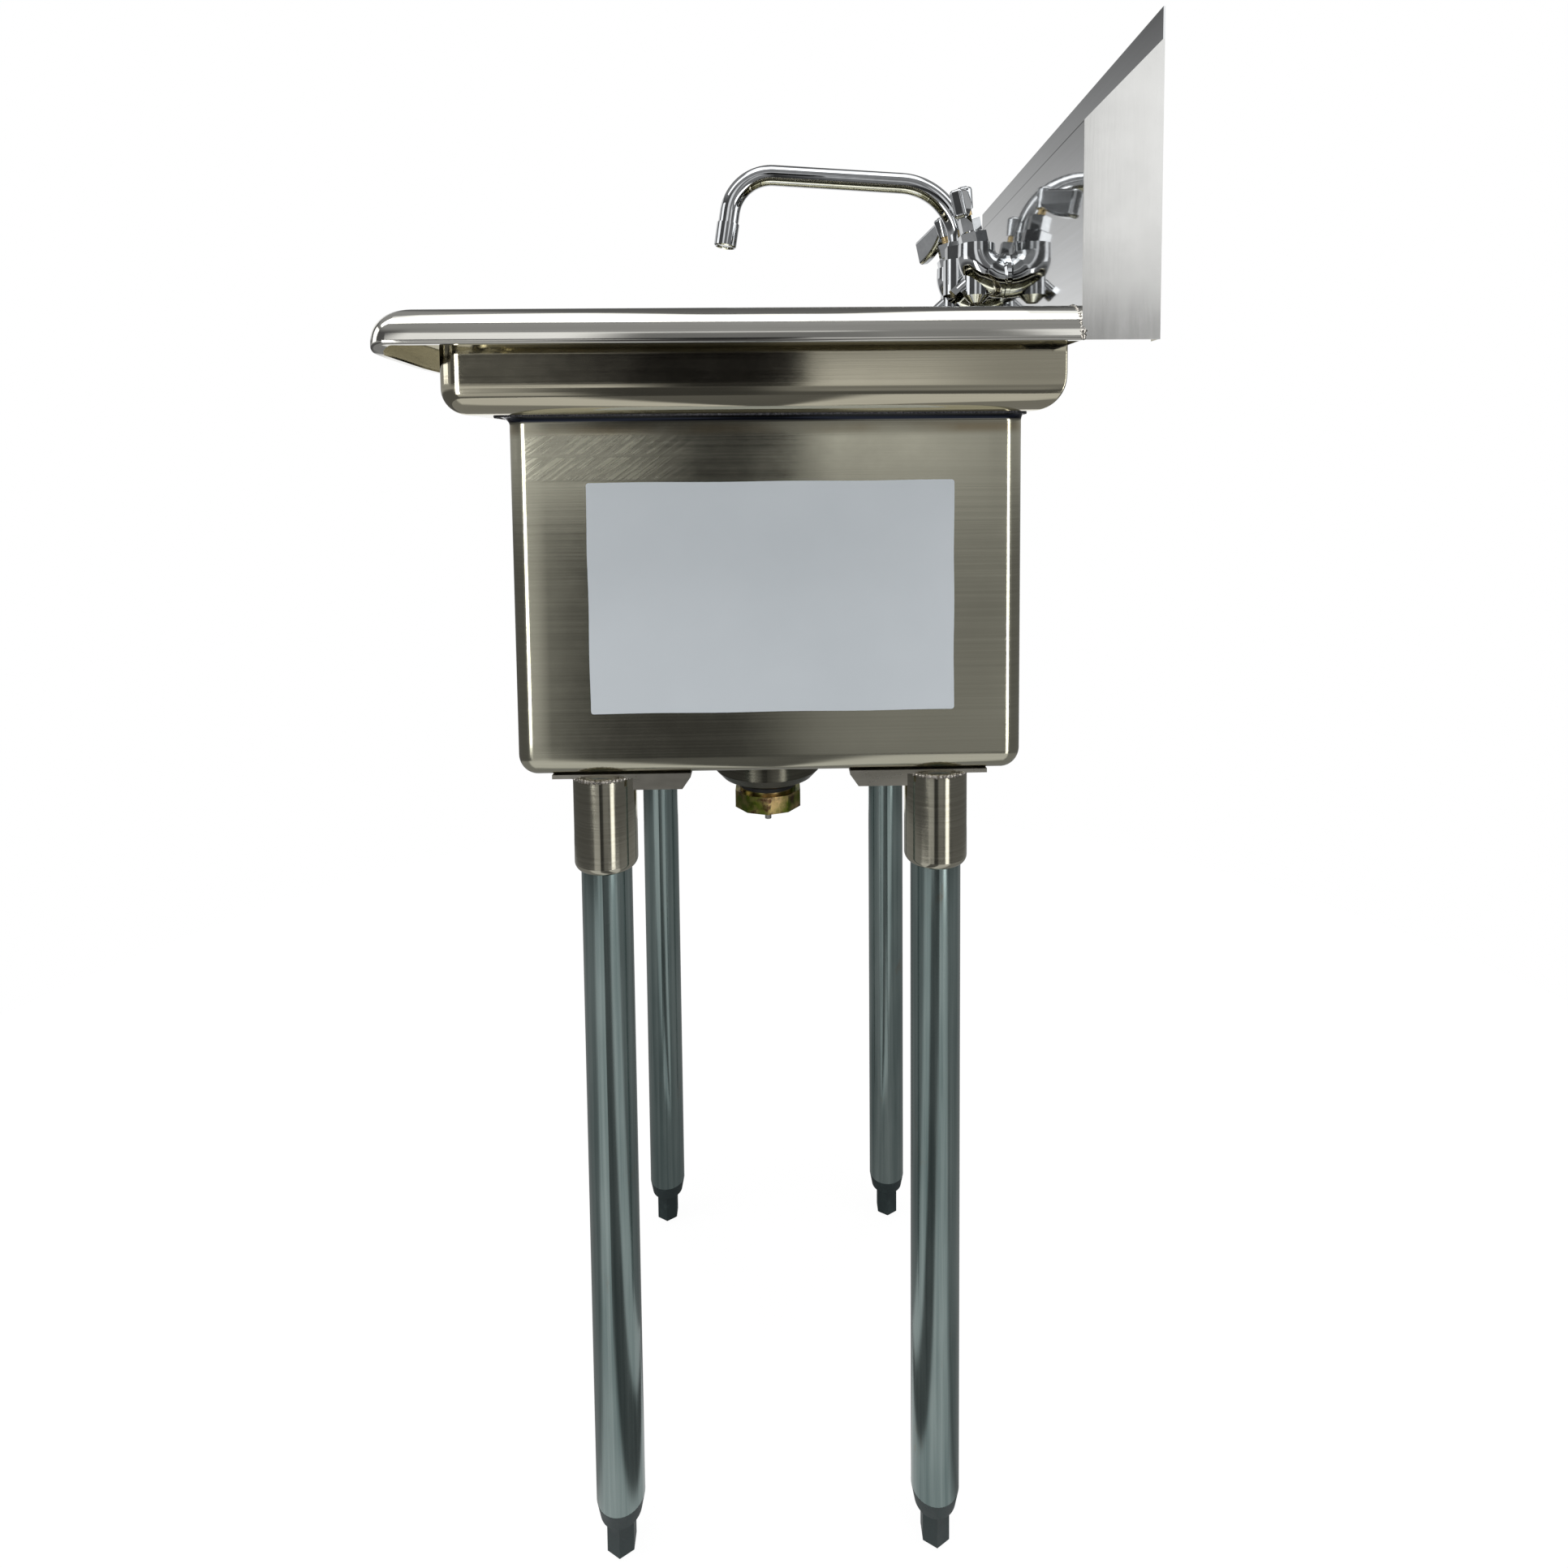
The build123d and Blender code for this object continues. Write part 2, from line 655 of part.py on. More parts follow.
def tap_body():
    # One casting: a bridge, two valve barrels with inlet necks, and the boss of the spout.
    half = inlet_spacing / 2
    bridge = Rot(0, 90, 0) * Cylinder(bridge_diameter / 2, inlet_spacing)
    body = Pos(0, valve_y, inlet_z) * bridge
    boss_z0 = inlet_z - boss_bottom
    body = body + rod(boss_diameter, boss_z0, boss_top_z, 0, spout_y)
    barrel = valve_barrel_diameter / 2
    low = inlet_z - valve_barrel_bottom
    high = inlet_z + valve_barrel_top
    points = [(0, low - valve_tip_height), (valve_tip_diameter / 2, low - valve_tip_height), (barrel, low),
              (barrel, high - valve_shoulder_height), (barrel - valve_shoulder_width, high), (0, high)]
    neck_length = splash_face_y - shank_start - valve_y
    for side in (-1, 1):
        x = side * half
        body = body + turned(points, x, valve_y)
        body = body + along_wall(rod(neck_diameter, 0, neck_length), side, valve_y)
        body = body + on_valve(rod(valve_seat_diameter, -valve_seat_length, 0), side)
        spur = Rot(90 + plug_angle, 0, 0) * rod(plug_boss_diameter, 0, plug_boss_reach)
        body = body + Pos(x, valve_y, inlet_z) * spur
    body = body - rod(boss_bore, boss_top_z - boss_bore_depth, boss_top_z + 1, 0, spout_y)
    for side in (-1, 1):
        bore = cartridge_diameter + 2 * cartridge_fit
        body = body - on_valve(rod(bore, -cartridge_length, 1), side)
        body = body - along_wall(rod(inlet_bore, 0, neck_length + 1), side, valve_y)
    return one(body)


def wall_flange(side):
    # A belled cover between the splash and the valve: a short rim, then a hollow curve inwards.
    hole = neck_diameter / 2 + shank_fit
    lip = wall_flange_diameter / 2
    neck = wall_flange_neck / 2
    depth = valve_from_splash - valve_barrel_diameter / 2 - wall_flange_gap
    lines = Polyline([(neck, depth), (hole, depth), (hole, 0), (lip, 0), (lip, wall_flange_edge)])
    bell = RadiusArc((lip, wall_flange_edge), (neck, depth), wall_flange_curve)
    cover = revolve(make_face(Plane.XZ * (lines + bell)), Axis.Z)
    return along_wall(Rot(180, 0, 0) * one(cover), side, splash_face_y)


def inlet_shank(side):
    # A thicker root through the splash and its locknut, then the free end that the supply screws on.
    root = shank_start + sheet + shank_washer_thickness + shank_nut_height
    shank = ring(inlet_diameter, inlet_bore, 0, inlet_length) + ring(shank_shoulder, inlet_bore, 0, root)
    return along_wall(one(shank), side, splash_face_y - shank_start)


def shank_washers():
    hole = shank_shoulder + 2 * shank_fit
    disc = ring(shank_washer_diameter, hole, 0, shank_washer_thickness)
    return Compound([along_wall(disc, side, splash_face_y + sheet) for side in (-1, 1)])


def shank_locknuts():
    hole = shank_shoulder + 2 * shank_fit
    nut = hex_nut(shank_nut_flats, hole, 0, shank_nut_height)
    start = splash_face_y + sheet + shank_washer_thickness
    return Compound([along_wall(nut, side, start) for side in (-1, 1)])


def bonnet_nuts():
    nut = hex_nut(bonnet_flats, stem_diameter + 2 * stem_fit, 0, bonnet_height)
    return Compound([on_valve(nut, side) for side in (-1, 1)])


def packing_nuts():
    # A narrower hexagon on a round neck above each bonnet.
    hole = stem_diameter + 2 * stem_fit
    base = bonnet_height + packing_gap
    nut = hex_nut(packing_flats, hole, base, base + packing_height)
    nut = one(nut + ring(packing_neck_diameter, hole, bonnet_height, base))
    return Compound([on_valve(nut, side) for side in (-1, 1)])


def cartridges():
    sleeve = ring(cartridge_diameter, stem_diameter + 2 * stem_fit, -cartridge_length, 0)
    return Compound([on_valve(sleeve, side) for side in (-1, 1)])


def stem_top():
    return bonnet_height + packing_gap + packing_height + stem_above_packing


def valve_stem(side):
    return on_valve(rod(stem_diameter, stem_bottom_gap - cartridge_length, stem_top()), side)


def lever_handle(side):
    # A hub that widens upwards, with a deep blade that points outwards when the valve is closed.
    base = bonnet_height + packing_gap + packing_height + hub_gap
    top = base + hub_height
    hub = turned([(0, base), (hub_foot_diameter / 2, base), (hub_diameter / 2, top), (0, top)])
    hub = fillet(edges_at(hub, top), hub_top_radius)
    high = top - lever_below_top
    tip_high = high - lever_droop
    tip_low = tip_high - lever_tip_height
    root_low = high - lever_root_height
    lines = Polyline([(0, root_low), (0, high), (lever_reach, tip_high), (lever_reach, tip_low)])
    belly = RadiusArc((lever_reach, tip_low), (0, root_low), lever_curve)
    blade = extrude(make_face(Plane.XZ * (lines + belly)), lever_width / 2, both=True)
    far = [e for e in blade.edges() if e.center().X > 1]
    blade = fillet(far, lever_radius)
    handle = hub + Rot(0, 0, -lever_turn) * blade
    handle = handle - rod(stem_diameter + 2 * handle_fit, base - 1, stem_top())
    if side < 0:
        handle = mirror(handle, Plane.YZ)
    return on_valve(one(handle), side)


def handle_screw(side):
    top = bonnet_height + packing_gap + packing_height + hub_gap + hub_height
    cap = rod(handle_screw_diameter, top, top + handle_screw_height)
    cap = fillet(edges_at(cap, top + handle_screw_height), handle_screw_height / 2)
    return on_valve(cap, side)


def body_plugs():
    # Hexagonal service plugs that face down and forward under each valve.
    plug = extrude(RegularPolygon(plug_flats / 2, 6, major_radius=False), plug_height)
    plug = Pos(0, 0, plug_boss_reach) * plug
    lean = Rot(90 + plug_angle, 0, 0)
    return Compound([Pos(side * inlet_spacing / 2, valve_y, inlet_z) * (lean * plug) for side in (-1, 1)])


def spout_points():
    # Centre line in the YZ plane: foot, rear corner, front corner and tip.
    corner_z = inlet_z + spout_corner_rise
    rise = spout_reach * math.tan(math.radians(spout_slope))
    front_y = spout_y - spout_reach
    front_z = corner_z + rise
    lean = math.radians(spout_tip_lean)
    foot_z = boss_top_z - bush_height - collar_gap - collar_height
    tip = (front_y - (spout_tip_drop - aerator_length) * math.tan(lean),
           front_z - (spout_tip_drop - aerator_length))
    return [(spout_y, foot_z), (spout_y, corner_z), (front_y, front_z), tip]


def spout_tube(diameter, points):
    path = FilletPolyline([Vector(0, y, z) for y, z in points],
                          radius=[spout_rear_bend, spout_front_bend])
    start = Plane(origin=path @ 0, z_dir=path % 0)
    return sweep(start * Circle(diameter / 2), path=path)


def spout():
    points = spout_points()
    return one(spout_tube(spout_diameter, points) - spout_tube(spout_diameter - 2 * spout_wall, points))


def spout_collar():
    # The ring on the spout's foot that the bush holds down.
    foot_z = spout_points()[0][1]
    return ring(collar_diameter, spout_diameter, foot_z, foot_z + collar_height, 0, spout_y)


def spout_bush():
    hole = spout_diameter + 2 * bush_fit
    return ring(boss_bore - 2 * bush_fit, hole, boss_top_z - bush_height, boss_top_z, 0, spout_y)


def spout_nut():
    hole = spout_diameter + 2 * spout_nut_fit
    body = hex_nut(spout_nut_flats, hole, boss_top_z, boss_top_z + spout_nut_height - spout_nut_cone)
    outer = spout_nut_flats / 2
    base = boss_top_z + spout_nut_height - spout_nut_cone
    cone = turned([(hole / 2, base), (outer, base), (hole / 2 + spout_nut_lip, base + spout_nut_cone),
                   (hole / 2, base + spout_nut_cone)])
    return Pos(0, spout_y, 0) * one(body + cone)


def aerator():
    # The tip fitting, in line with the leaning end of the spout.
    (y0, z0) = spout_points()[2]
    (y1, z1) = spout_points()[3]
    fitting = ring(aerator_diameter, aerator_bore, 0, aerator_length)
    fitting = chamfer(edges_at(fitting, aerator_length), aerator_chamfer)
    fitting = fitting + rod(aerator_bore + 2 * aerator_insert_bite, aerator_length - aerator_insert_depth,
                            aerator_length - aerator_insert)
    plane = Plane(origin=(0, y1, z1), z_dir=(0, y1 - y0, z1 - z0))
    return plane * one(fitting)


save("sink_top", sink_top())
save("bowl", bowl())
save("side_label", side_label())
save("backsplash", backsplash())
for name, side in sides:
    save("splash_end_cap_" + name, end_cap(side))
for name, sx, sy in corners:
    save("gusset_" + name, gusset(sx, sy))
    save("leg_socket_" + name, leg_socket(sx, sy))
    save("leg_" + name, leg(sx, sy))
    save("foot_sleeve_" + name, foot_sleeve(sx, sy))
    save("foot_" + name, foot(sx, sy))
save("socket_set_screws", Compound([set_screw(sx, sy) for name, sx, sy in corners]))
save("drain_flange", drain_flange())
save("drain_gaskets", drain_gaskets())
save("drain_cup", drain_cup())
save("outlet_washer", outlet_washer())
save("outlet_nut", outlet_nut())
save("drain_screw", drain_screw())
save("strainer_basket", strainer_basket())
save("basket_post", basket_post())
save("tap_body", tap_body())
for name, side in (("hot", -1), ("cold", 1)):
    save("wall_flange_" + name, wall_flange(side))
    save("inlet_shank_" + name, inlet_shank(side))
    save("valve_stem_" + name, valve_stem(side))
    save("lever_handle_" + name, lever_handle(side))
    save("handle_screw_" + name, handle_screw(side))
save("shank_washers", shank_washers())
save("shank_locknuts", shank_locknuts())
save("bonnet_nuts", bonnet_nuts())
save("packing_nuts", packing_nuts())
save("cartridges", cartridges())
save("body_plugs", body_plugs())
save("spout", spout())
save("spout_collar", spout_collar())
save("spout_bush", spout_bush())
save("spout_nut", spout_nut())
save("aerator", aerator())
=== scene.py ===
import bmesh
import bpy
import json
import math
import numpy as np
from mathutils import Matrix, Vector


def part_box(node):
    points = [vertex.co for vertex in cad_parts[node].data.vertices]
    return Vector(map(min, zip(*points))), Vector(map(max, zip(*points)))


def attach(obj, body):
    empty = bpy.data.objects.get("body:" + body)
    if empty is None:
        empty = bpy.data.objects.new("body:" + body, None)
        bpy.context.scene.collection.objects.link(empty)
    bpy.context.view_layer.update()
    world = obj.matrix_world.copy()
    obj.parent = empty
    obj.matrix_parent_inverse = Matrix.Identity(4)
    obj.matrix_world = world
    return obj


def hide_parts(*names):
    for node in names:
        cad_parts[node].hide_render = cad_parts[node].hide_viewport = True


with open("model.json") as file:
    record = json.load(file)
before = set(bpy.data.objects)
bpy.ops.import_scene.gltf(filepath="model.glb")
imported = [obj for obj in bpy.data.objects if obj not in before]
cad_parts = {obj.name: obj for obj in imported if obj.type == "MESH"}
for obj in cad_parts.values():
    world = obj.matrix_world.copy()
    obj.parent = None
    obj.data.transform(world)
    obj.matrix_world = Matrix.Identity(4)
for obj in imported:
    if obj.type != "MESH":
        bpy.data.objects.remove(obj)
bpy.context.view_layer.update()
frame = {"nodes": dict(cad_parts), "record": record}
nodes = frame["nodes"]
mm = 0.001
print("frame loaded:", len(nodes), "pieces")

# shader node helpers


def addNode(tree, kind, values=None, **settings):
    # one shader node, with plain values on its sockets by name or number
    node = tree.nodes.new(kind)
    for key, value in settings.items():
        setattr(node, key, value)
    for key, value in (values or {}).items():
        node.inputs[key].default_value = value
    return node


def join(tree, output, node, socket):
    tree.links.new(output, node.inputs[socket])


def startMaterial(name):
    material = bpy.data.materials.new(name)
    material.use_nodes = True
    tree = material.node_tree
    tree.nodes.clear()
    shader = addNode(tree, "ShaderNodeBsdfPrincipled")
    out = addNode(tree, "ShaderNodeOutputMaterial")
    join(tree, shader.outputs[0], out, "Surface")
    coords = addNode(tree, "ShaderNodeTexCoord")
    return material, tree, shader, coords.outputs["Object"]


def noiseAt(tree, coords, scale, stretch=(1, 1, 1), detail=3.0, rough=0.55, turn=(0, 0, 0)):
    # noise whose features are 1/scale metres across, drawn out along an axis with a small factor
    mapping = addNode(tree, "ShaderNodeMapping")
    mapping.inputs["Scale"].default_value = stretch
    mapping.inputs["Rotation"].default_value = turn
    join(tree, coords, mapping, "Vector")
    noise = addNode(tree, "ShaderNodeTexNoise", {"Scale": scale, "Detail": detail, "Roughness": rough})
    join(tree, mapping.outputs[0], noise, "Vector")
    return noise.outputs[0]


def remap(tree, value, low, high, toLow, toHigh, smooth=False):
    node = addNode(tree, "ShaderNodeMapRange")
    if smooth:
        node.interpolation_type = "SMOOTHSTEP"
    for socket, number in (("From Min", low), ("From Max", high), ("To Min", toLow), ("To Max", toHigh)):
        node.inputs[socket].default_value = number
    join(tree, value, node, "Value")
    return node.outputs[0]


def calc(tree, operation, a, b):
    # one sum or function of two numbers or sockets
    node = addNode(tree, "ShaderNodeMath", operation=operation)
    for socket, value in ((0, a), (1, b)):
        if isinstance(value, (int, float)):
            node.inputs[socket].default_value = value
        else:
            join(tree, value, node, socket)
    return node.outputs[0]


def mixColour(tree, factor, a, b, blend="MIX"):
    # a and b are either colours or sockets
    node = addNode(tree, "ShaderNodeMix", data_type="RGBA", blend_type=blend)
    join(tree, factor, node, 0)
    for socket, value in ((6, a), (7, b)):
        if isinstance(value, tuple):
            node.inputs[socket].default_value = (*value, 1.0)
        else:
            join(tree, value, node, socket)
    return node.outputs[2]


def bumpFrom(tree, shader, height, strength, distance):
    bump = addNode(tree, "ShaderNodeBump", {"Strength": strength, "Distance": distance})
    join(tree, height, bump, "Height")
    join(tree, bump.outputs[0], shader, "Normal")


def slanted(tree, coords, angle):
    # the same coordinates turned about X, for marks that lean
    node = addNode(tree, "ShaderNodeVectorRotate", {"Angle": angle}, rotation_type="X_AXIS")
    join(tree, coords, node, "Vector")
    return node.outputs[0]


def band(tree, value, low, high, soft):
    # 1 between low and high, 0 outside, with soft edges
    return calc(tree, "MULTIPLY", remap(tree, value, low - soft, low + soft, 0.0, 1.0, True),
                remap(tree, value, high - soft, high + soft, 1.0, 0.0, True))


def axes(tree, coords):
    split = addNode(tree, "ShaderNodeSeparateXYZ")
    join(tree, coords, split, 0)
    return split.outputs


# surface helpers: each new piece is a lattice of points worked out with numpy


def latticeFaces(rows, columns, wrapRows=False, wrapColumns=False):
    # quads between neighbours of a lattice; a wrapped direction joins its last line to its first
    r = np.arange(rows if wrapRows else rows - 1)
    c = np.arange(columns if wrapColumns else columns - 1)
    a, b = np.meshgrid(r, c, indexing="ij")
    nextA = (a + 1) % rows
    nextB = (b + 1) % columns
    here, below = a * columns, nextA * columns
    quads = np.stack([here + b, below + b, below + nextB, here + nextB], -1)
    return quads.reshape(-1, 4)


def makePiece(name, patches, finish, body, crease=35.0):
    # patches are pairs of points and faces; points that meet are merged, and the faces turned outwards
    vertices = np.concatenate([points.reshape(-1, 3) for points, faces in patches])
    starts = np.cumsum([0] + [points.reshape(-1, 3).shape[0] for points, faces in patches])
    polygons = []
    for (points, faces), start in zip(patches, starts):
        polygons += (faces + start).tolist()
    mesh = bpy.data.meshes.new(name)
    mesh.from_pydata(vertices.tolist(), [], polygons)
    work = bmesh.new()
    work.from_mesh(mesh)
    bmesh.ops.remove_doubles(work, verts=work.verts, dist=0.003 * mm)
    bmesh.ops.dissolve_degenerate(work, edges=work.edges, dist=0.001 * mm)
    bmesh.ops.recalc_face_normals(work, faces=work.faces)
    if work.calc_volume(signed=True) < 0:
        bmesh.ops.reverse_faces(work, faces=work.faces)
    work.to_mesh(mesh)
    work.free()
    mesh.shade_smooth()
    mesh.set_sharp_from_angle(angle=math.radians(crease))
    mesh.materials.append(finish)
    piece = bpy.data.objects.new(name, mesh)
    bpy.context.scene.collection.objects.link(piece)
    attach(piece, body)
    return piece


def roundedLoop(halfX, front, rear, frontRadius, rearRadius, straight, arc):
    # A stack of rounded rectangles, one for each row: quarter arcs about four corner centres, with
    # evenly divided straight sides between them. It starts at the rear left and runs by the front.
    values = np.broadcast_arrays(*np.atleast_1d(halfX, front, rear, frontRadius, rearRadius))
    half, low, high, near, far = [np.asarray(v, float).reshape(-1, 1) for v in values]
    corners = [(near - half, low + near, near, 180), (half - near, low + near, near, 270),
               (half - far, high - far, far, 0), (far - half, high - far, far, 90)]
    bends = []
    for centreX, centreY, radius, start in corners:
        turn = np.radians(start + np.linspace(0, 90, arc + 1))
        bends.append(np.stack([centreX + radius * np.cos(turn), centreY + radius * np.sin(turn)], -1))
    share = np.linspace(0, 1, straight + 1)[1:-1].reshape(1, -1, 1)
    loop = []
    for k, bend in enumerate(bends):
        before = bends[k - 1][:, -1:, :]
        loop += [before + share * (bend[:, :1, :] - before), bend]
    return np.concatenate(loop, 1)


def profileNormals(across, up):
    # the right-hand side of a profile's direction, as unit vectors, from central differences
    stepAcross, stepUp = np.gradient(across), np.gradient(up)
    length = np.hypot(stepAcross, stepUp) + 1e-12
    return stepUp / length, -stepAcross / length


def quarter(start, end, count, lead):
    # An elliptic quarter arc from start to end in a plane of two sizes. It leaves along the first
    # axis where lead is 0, along the second where lead is 1; both ends are left out.
    turn = np.linspace(0, math.pi / 2, count + 2)[1:-1]
    first, second = (np.sin(turn), 1 - np.cos(turn)) if lead == 0 else (1 - np.cos(turn), np.sin(turn))
    return [(start[0] + (end[0] - start[0]) * a, start[1] + (end[1] - start[1]) * b)
            for a, b in zip(first, second)]


def tubeAlong(path, radius, sides=10, closed=False, flatten=1.0, sideways=None):
    # A tube about a path: at each point a circle of that point's radius across the path. Its first
    # axis is sideways, or level where none is given, and its second axis is squashed by flatten.
    before = np.roll(path, 1, 0) if closed else np.concatenate([path[:1], path[:-1]])
    after = np.roll(path, -1, 0) if closed else np.concatenate([path[1:], path[-1:]])
    along = after - before
    along /= np.linalg.norm(along, axis=1, keepdims=True)
    if sideways is None:
        sideways = np.cross(along, (0.0, 0.0, 1.0))
        sideways /= np.linalg.norm(sideways, axis=1, keepdims=True)
    else:
        sideways = np.tile(sideways, (len(path), 1))
    upward = np.cross(sideways, along)
    turn = np.linspace(0, 2 * math.pi, sides, endpoint=False).reshape(1, -1, 1)
    size = np.asarray(radius, float).reshape(-1, 1, 1)
    rings = (path[:, None, :] + size * np.cos(turn) * sideways[:, None, :]
             + size * flatten * np.sin(turn) * upward[:, None, :])
    return rings


# finishes

brushed = {
    "splash": dict(light=(0.74, 0.75, 0.76), dark=(0.68, 0.69, 0.69), rough=(0.03, 0.07),
                   grain=(4, 220, 220), anisotropic=0.0, bump=0.012),
    "cap": dict(light=(0.74, 0.74, 0.725), dark=(0.64, 0.64, 0.625), rough=(0.12, 0.20),
                grain=(90, 90, 7), anisotropic=0.2, bump=0.10),
    "plate": dict(light=(0.55, 0.53, 0.47), dark=(0.42, 0.40, 0.34), rough=(0.22, 0.36),
                  grain=(300, 8, 60), anisotropic=0.2, bump=0.08),
    "socket": dict(light=(0.60, 0.58, 0.48), dark=(0.42, 0.40, 0.32), rough=(0.07, 0.15),
                   grain=(14, 14, 700), anisotropic=0.3, bump=0.06),
    # the drain cup's colour is much darker than its steel: painted shade under the bowl
    "cup": dict(light=(0.17, 0.165, 0.13), dark=(0.10, 0.095, 0.075), rough=(0.18, 0.30),
                grain=(10, 10, 600), anisotropic=0.4, bump=0.08),
    "drain": dict(light=(0.72, 0.72, 0.70), dark=(0.60, 0.60, 0.58), rough=(0.10, 0.20),
                  grain=(60, 60, 300), anisotropic=0.3, bump=0.04),
    "screw": dict(light=(0.50, 0.50, 0.48), dark=(0.34, 0.33, 0.31), rough=(0.30, 0.45),
                  grain=(200, 200, 900), anisotropic=0.0, bump=0.08),
    "brass": dict(light=(0.72, 0.56, 0.30), dark=(0.55, 0.40, 0.19), rough=(0.20, 0.35),
                  grain=(80, 80, 500), anisotropic=0.0, bump=0.05),
    # near-black steel for the seam bead: burnt weld, and painted shade in the corner under the pan
    "burntAndShade": dict(light=(0.10, 0.10, 0.11), dark=(0.03, 0.03, 0.04), rough=(0.25, 0.45),
                  grain=(300, 300, 300), anisotropic=0.0, bump=0.3),
    "weld": dict(light=(0.66, 0.64, 0.60), dark=(0.30, 0.27, 0.23), rough=(0.14, 0.30),
                 grain=(500, 500, 500), anisotropic=0.0, bump=0.5),
}


def brushedBase(name, light, dark, rough, grain, anisotropic):
    # fine lines drawn out along the small-factor axes, over slow cloudy changes of tone and gloss
    material, tree, shader, coords = startMaterial(name)
    lines = noiseAt(tree, coords, 1.0, stretch=grain, detail=4.0, rough=0.7)
    clouds = noiseAt(tree, coords, 6.0, detail=2.0)
    smudge = noiseAt(tree, coords, 34.0, detail=5.0, rough=0.65)
    tone = calc(tree, "ADD", calc(tree, "MULTIPLY", lines, 0.45), calc(tree, "MULTIPLY", clouds, 0.55))
    colour = mixColour(tree, remap(tree, tone, 0.36, 0.64, 0.0, 1.0), dark, light)
    gloss = calc(tree, "ADD", calc(tree, "MULTIPLY", lines, 0.5), calc(tree, "MULTIPLY", smudge, 0.5))
    gloss = remap(tree, gloss, 0.34, 0.66, *rough)
    shader.inputs["Metallic"].default_value = 1.0
    shader.inputs["Anisotropic"].default_value = anisotropic
    shader.inputs["Anisotropic Rotation"].default_value = 0.25
    return material, tree, shader, coords, colour, gloss, lines


def brushedMetal(name, bump, **values):
    material, tree, shader, coords, colour, gloss, lines = brushedBase(name, **values)
    join(tree, colour, shader, "Base Color")
    join(tree, gloss, shader, "Roughness")
    bumpFrom(tree, shader, lines, bump, 0.0004)
    return material


pressedSheet = {
    "rim": dict(light=(0.71, 0.70, 0.655), dark=(0.61, 0.60, 0.555), rough=(0.06, 0.11),
                grain=(3, 3, 520), anisotropic=0.2),
    "panTone": (0.90, 0.86, 0.72), "rimFrom": 0.2225, "bump": 0.04,
}


def rimSheet():
    # the deck pan is the same sheet as its rim, but duller and a little greener
    values = pressedSheet
    material, tree, shader, coords, colour, gloss, lines = brushedBase("finish_rim", **values["rim"])
    x, y, z = axes(tree, coords)
    out = calc(tree, "MAXIMUM", calc(tree, "ABSOLUTE", x, 0.0), calc(tree, "MULTIPLY", y, -1.0))
    pan = remap(tree, out, values["rimFrom"], values["rimFrom"] + 0.001, 1.0, 0.0)
    duller = mixColour(tree, pan, colour, values["panTone"], "MULTIPLY")
    join(tree, duller, shader, "Base Color")
    join(tree, gloss, shader, "Roughness")
    bumpFrom(tree, shader, lines, values["bump"], 0.0004)
    return material


bowlSheet = {
    "steel": dict(light=(0.62, 0.605, 0.485), dark=(0.52, 0.505, 0.40), rough=(0.10, 0.18),
                  grain=(2.5, 2.5, 620), anisotropic=0.35),
    "bump": 0.05, "seam": (0.8850, 0.8915), "heat": (0.34, 0.25, 0.13), "heatShare": 0.6,
    # the near-black colour over the top of the wall, just under the flare, is painted shadow cast by the pan
    "burntAndShade": (0.022, 0.026, 0.040), "shadeFrom": 0.8928,
    # ground marks: two leaning bands beside the left corner of the face that carries the label
    "groundY": (-0.172, -0.048), "groundUpper": (0.8705, 0.8840), "groundLower": (0.8520, 0.8685),
    "groundLean": 0.95, "groundGloss": (0.0, 0.20), "groundStretch": (20, 680, 30),
}


def bowlSteel():
    values = bowlSheet
    material, tree, shader, coords, colour, gloss, lines = brushedBase("finish_bowl", **values["steel"])
    x, y, z = axes(tree, coords)
    stain = remap(tree, noiseAt(tree, coords, 16.0, detail=3.0), 0.36, 0.62, 0.1, values["heatShare"])
    heat = calc(tree, "MULTIPLY", band(tree, z, *values["seam"], 0.003), stain)
    colour = mixColour(tree, heat, colour, values["heat"])
    # painted shadow: the wall goes near black just under the pan's flare
    burntAndShade = remap(tree, z, values["shadeFrom"], values["shadeFrom"] + 0.0015, 0.0, 1.0)
    colour = mixColour(tree, burntAndShade, colour, values["burntAndShade"])
    bands = calc(tree, "MAXIMUM", band(tree, z, *values["groundUpper"], 0.0015),
                 band(tree, z, *values["groundLower"], 0.0015))
    taper = remap(tree, y, values["groundY"][1] - 0.05, values["groundY"][1], 1.0, 0.0)
    patch = calc(tree, "MULTIPLY", calc(tree, "MULTIPLY", bands, taper),
                 band(tree, y, values["groundY"][0], values["groundY"][1], 0.003))
    patch = calc(tree, "MULTIPLY", patch, remap(tree, x, 0.15, 0.18, 0.0, 1.0))
    leaning = slanted(tree, coords, values["groundLean"])
    strokes = noiseAt(tree, leaning, 1.0, stretch=values["groundStretch"], detail=2.0)
    dulled = calc(tree, "MULTIPLY", patch, remap(tree, strokes, 0.4, 0.6, *values["groundGloss"]))
    join(tree, colour, shader, "Base Color")
    join(tree, calc(tree, "ADD", gloss, dulled), shader, "Roughness")
    height = calc(tree, "ADD", lines, calc(tree, "MULTIPLY", patch, calc(tree, "MULTIPLY", strokes, 4.0)))
    bumpFrom(tree, shader, height, values["bump"], 0.0004)
    return material


chromeFinish = {"colour": (0.56, 0.575, 0.59), "rough": (0.015, 0.05), "speck": 0.02}


def chromeMetal(name, colour, rough, speck):
    # bright plate with faint water marks that only change its gloss
    material, tree, shader, coords = startMaterial(name)
    marks = noiseAt(tree, coords, 160.0, detail=5.0, rough=0.7)
    waves = noiseAt(tree, coords, 45.0, detail=1.0)
    dark = tuple(c * 0.86 for c in colour)
    join(tree, mixColour(tree, remap(tree, marks, 0.35, 0.62, 0.0, 1.0), dark, colour), shader, "Base Color")
    join(tree, remap(tree, marks, 0.45, 0.75, *rough), shader, "Roughness")
    shader.inputs["Metallic"].default_value = 1.0
    bumpFrom(tree, shader, waves, speck, 0.002)
    return material


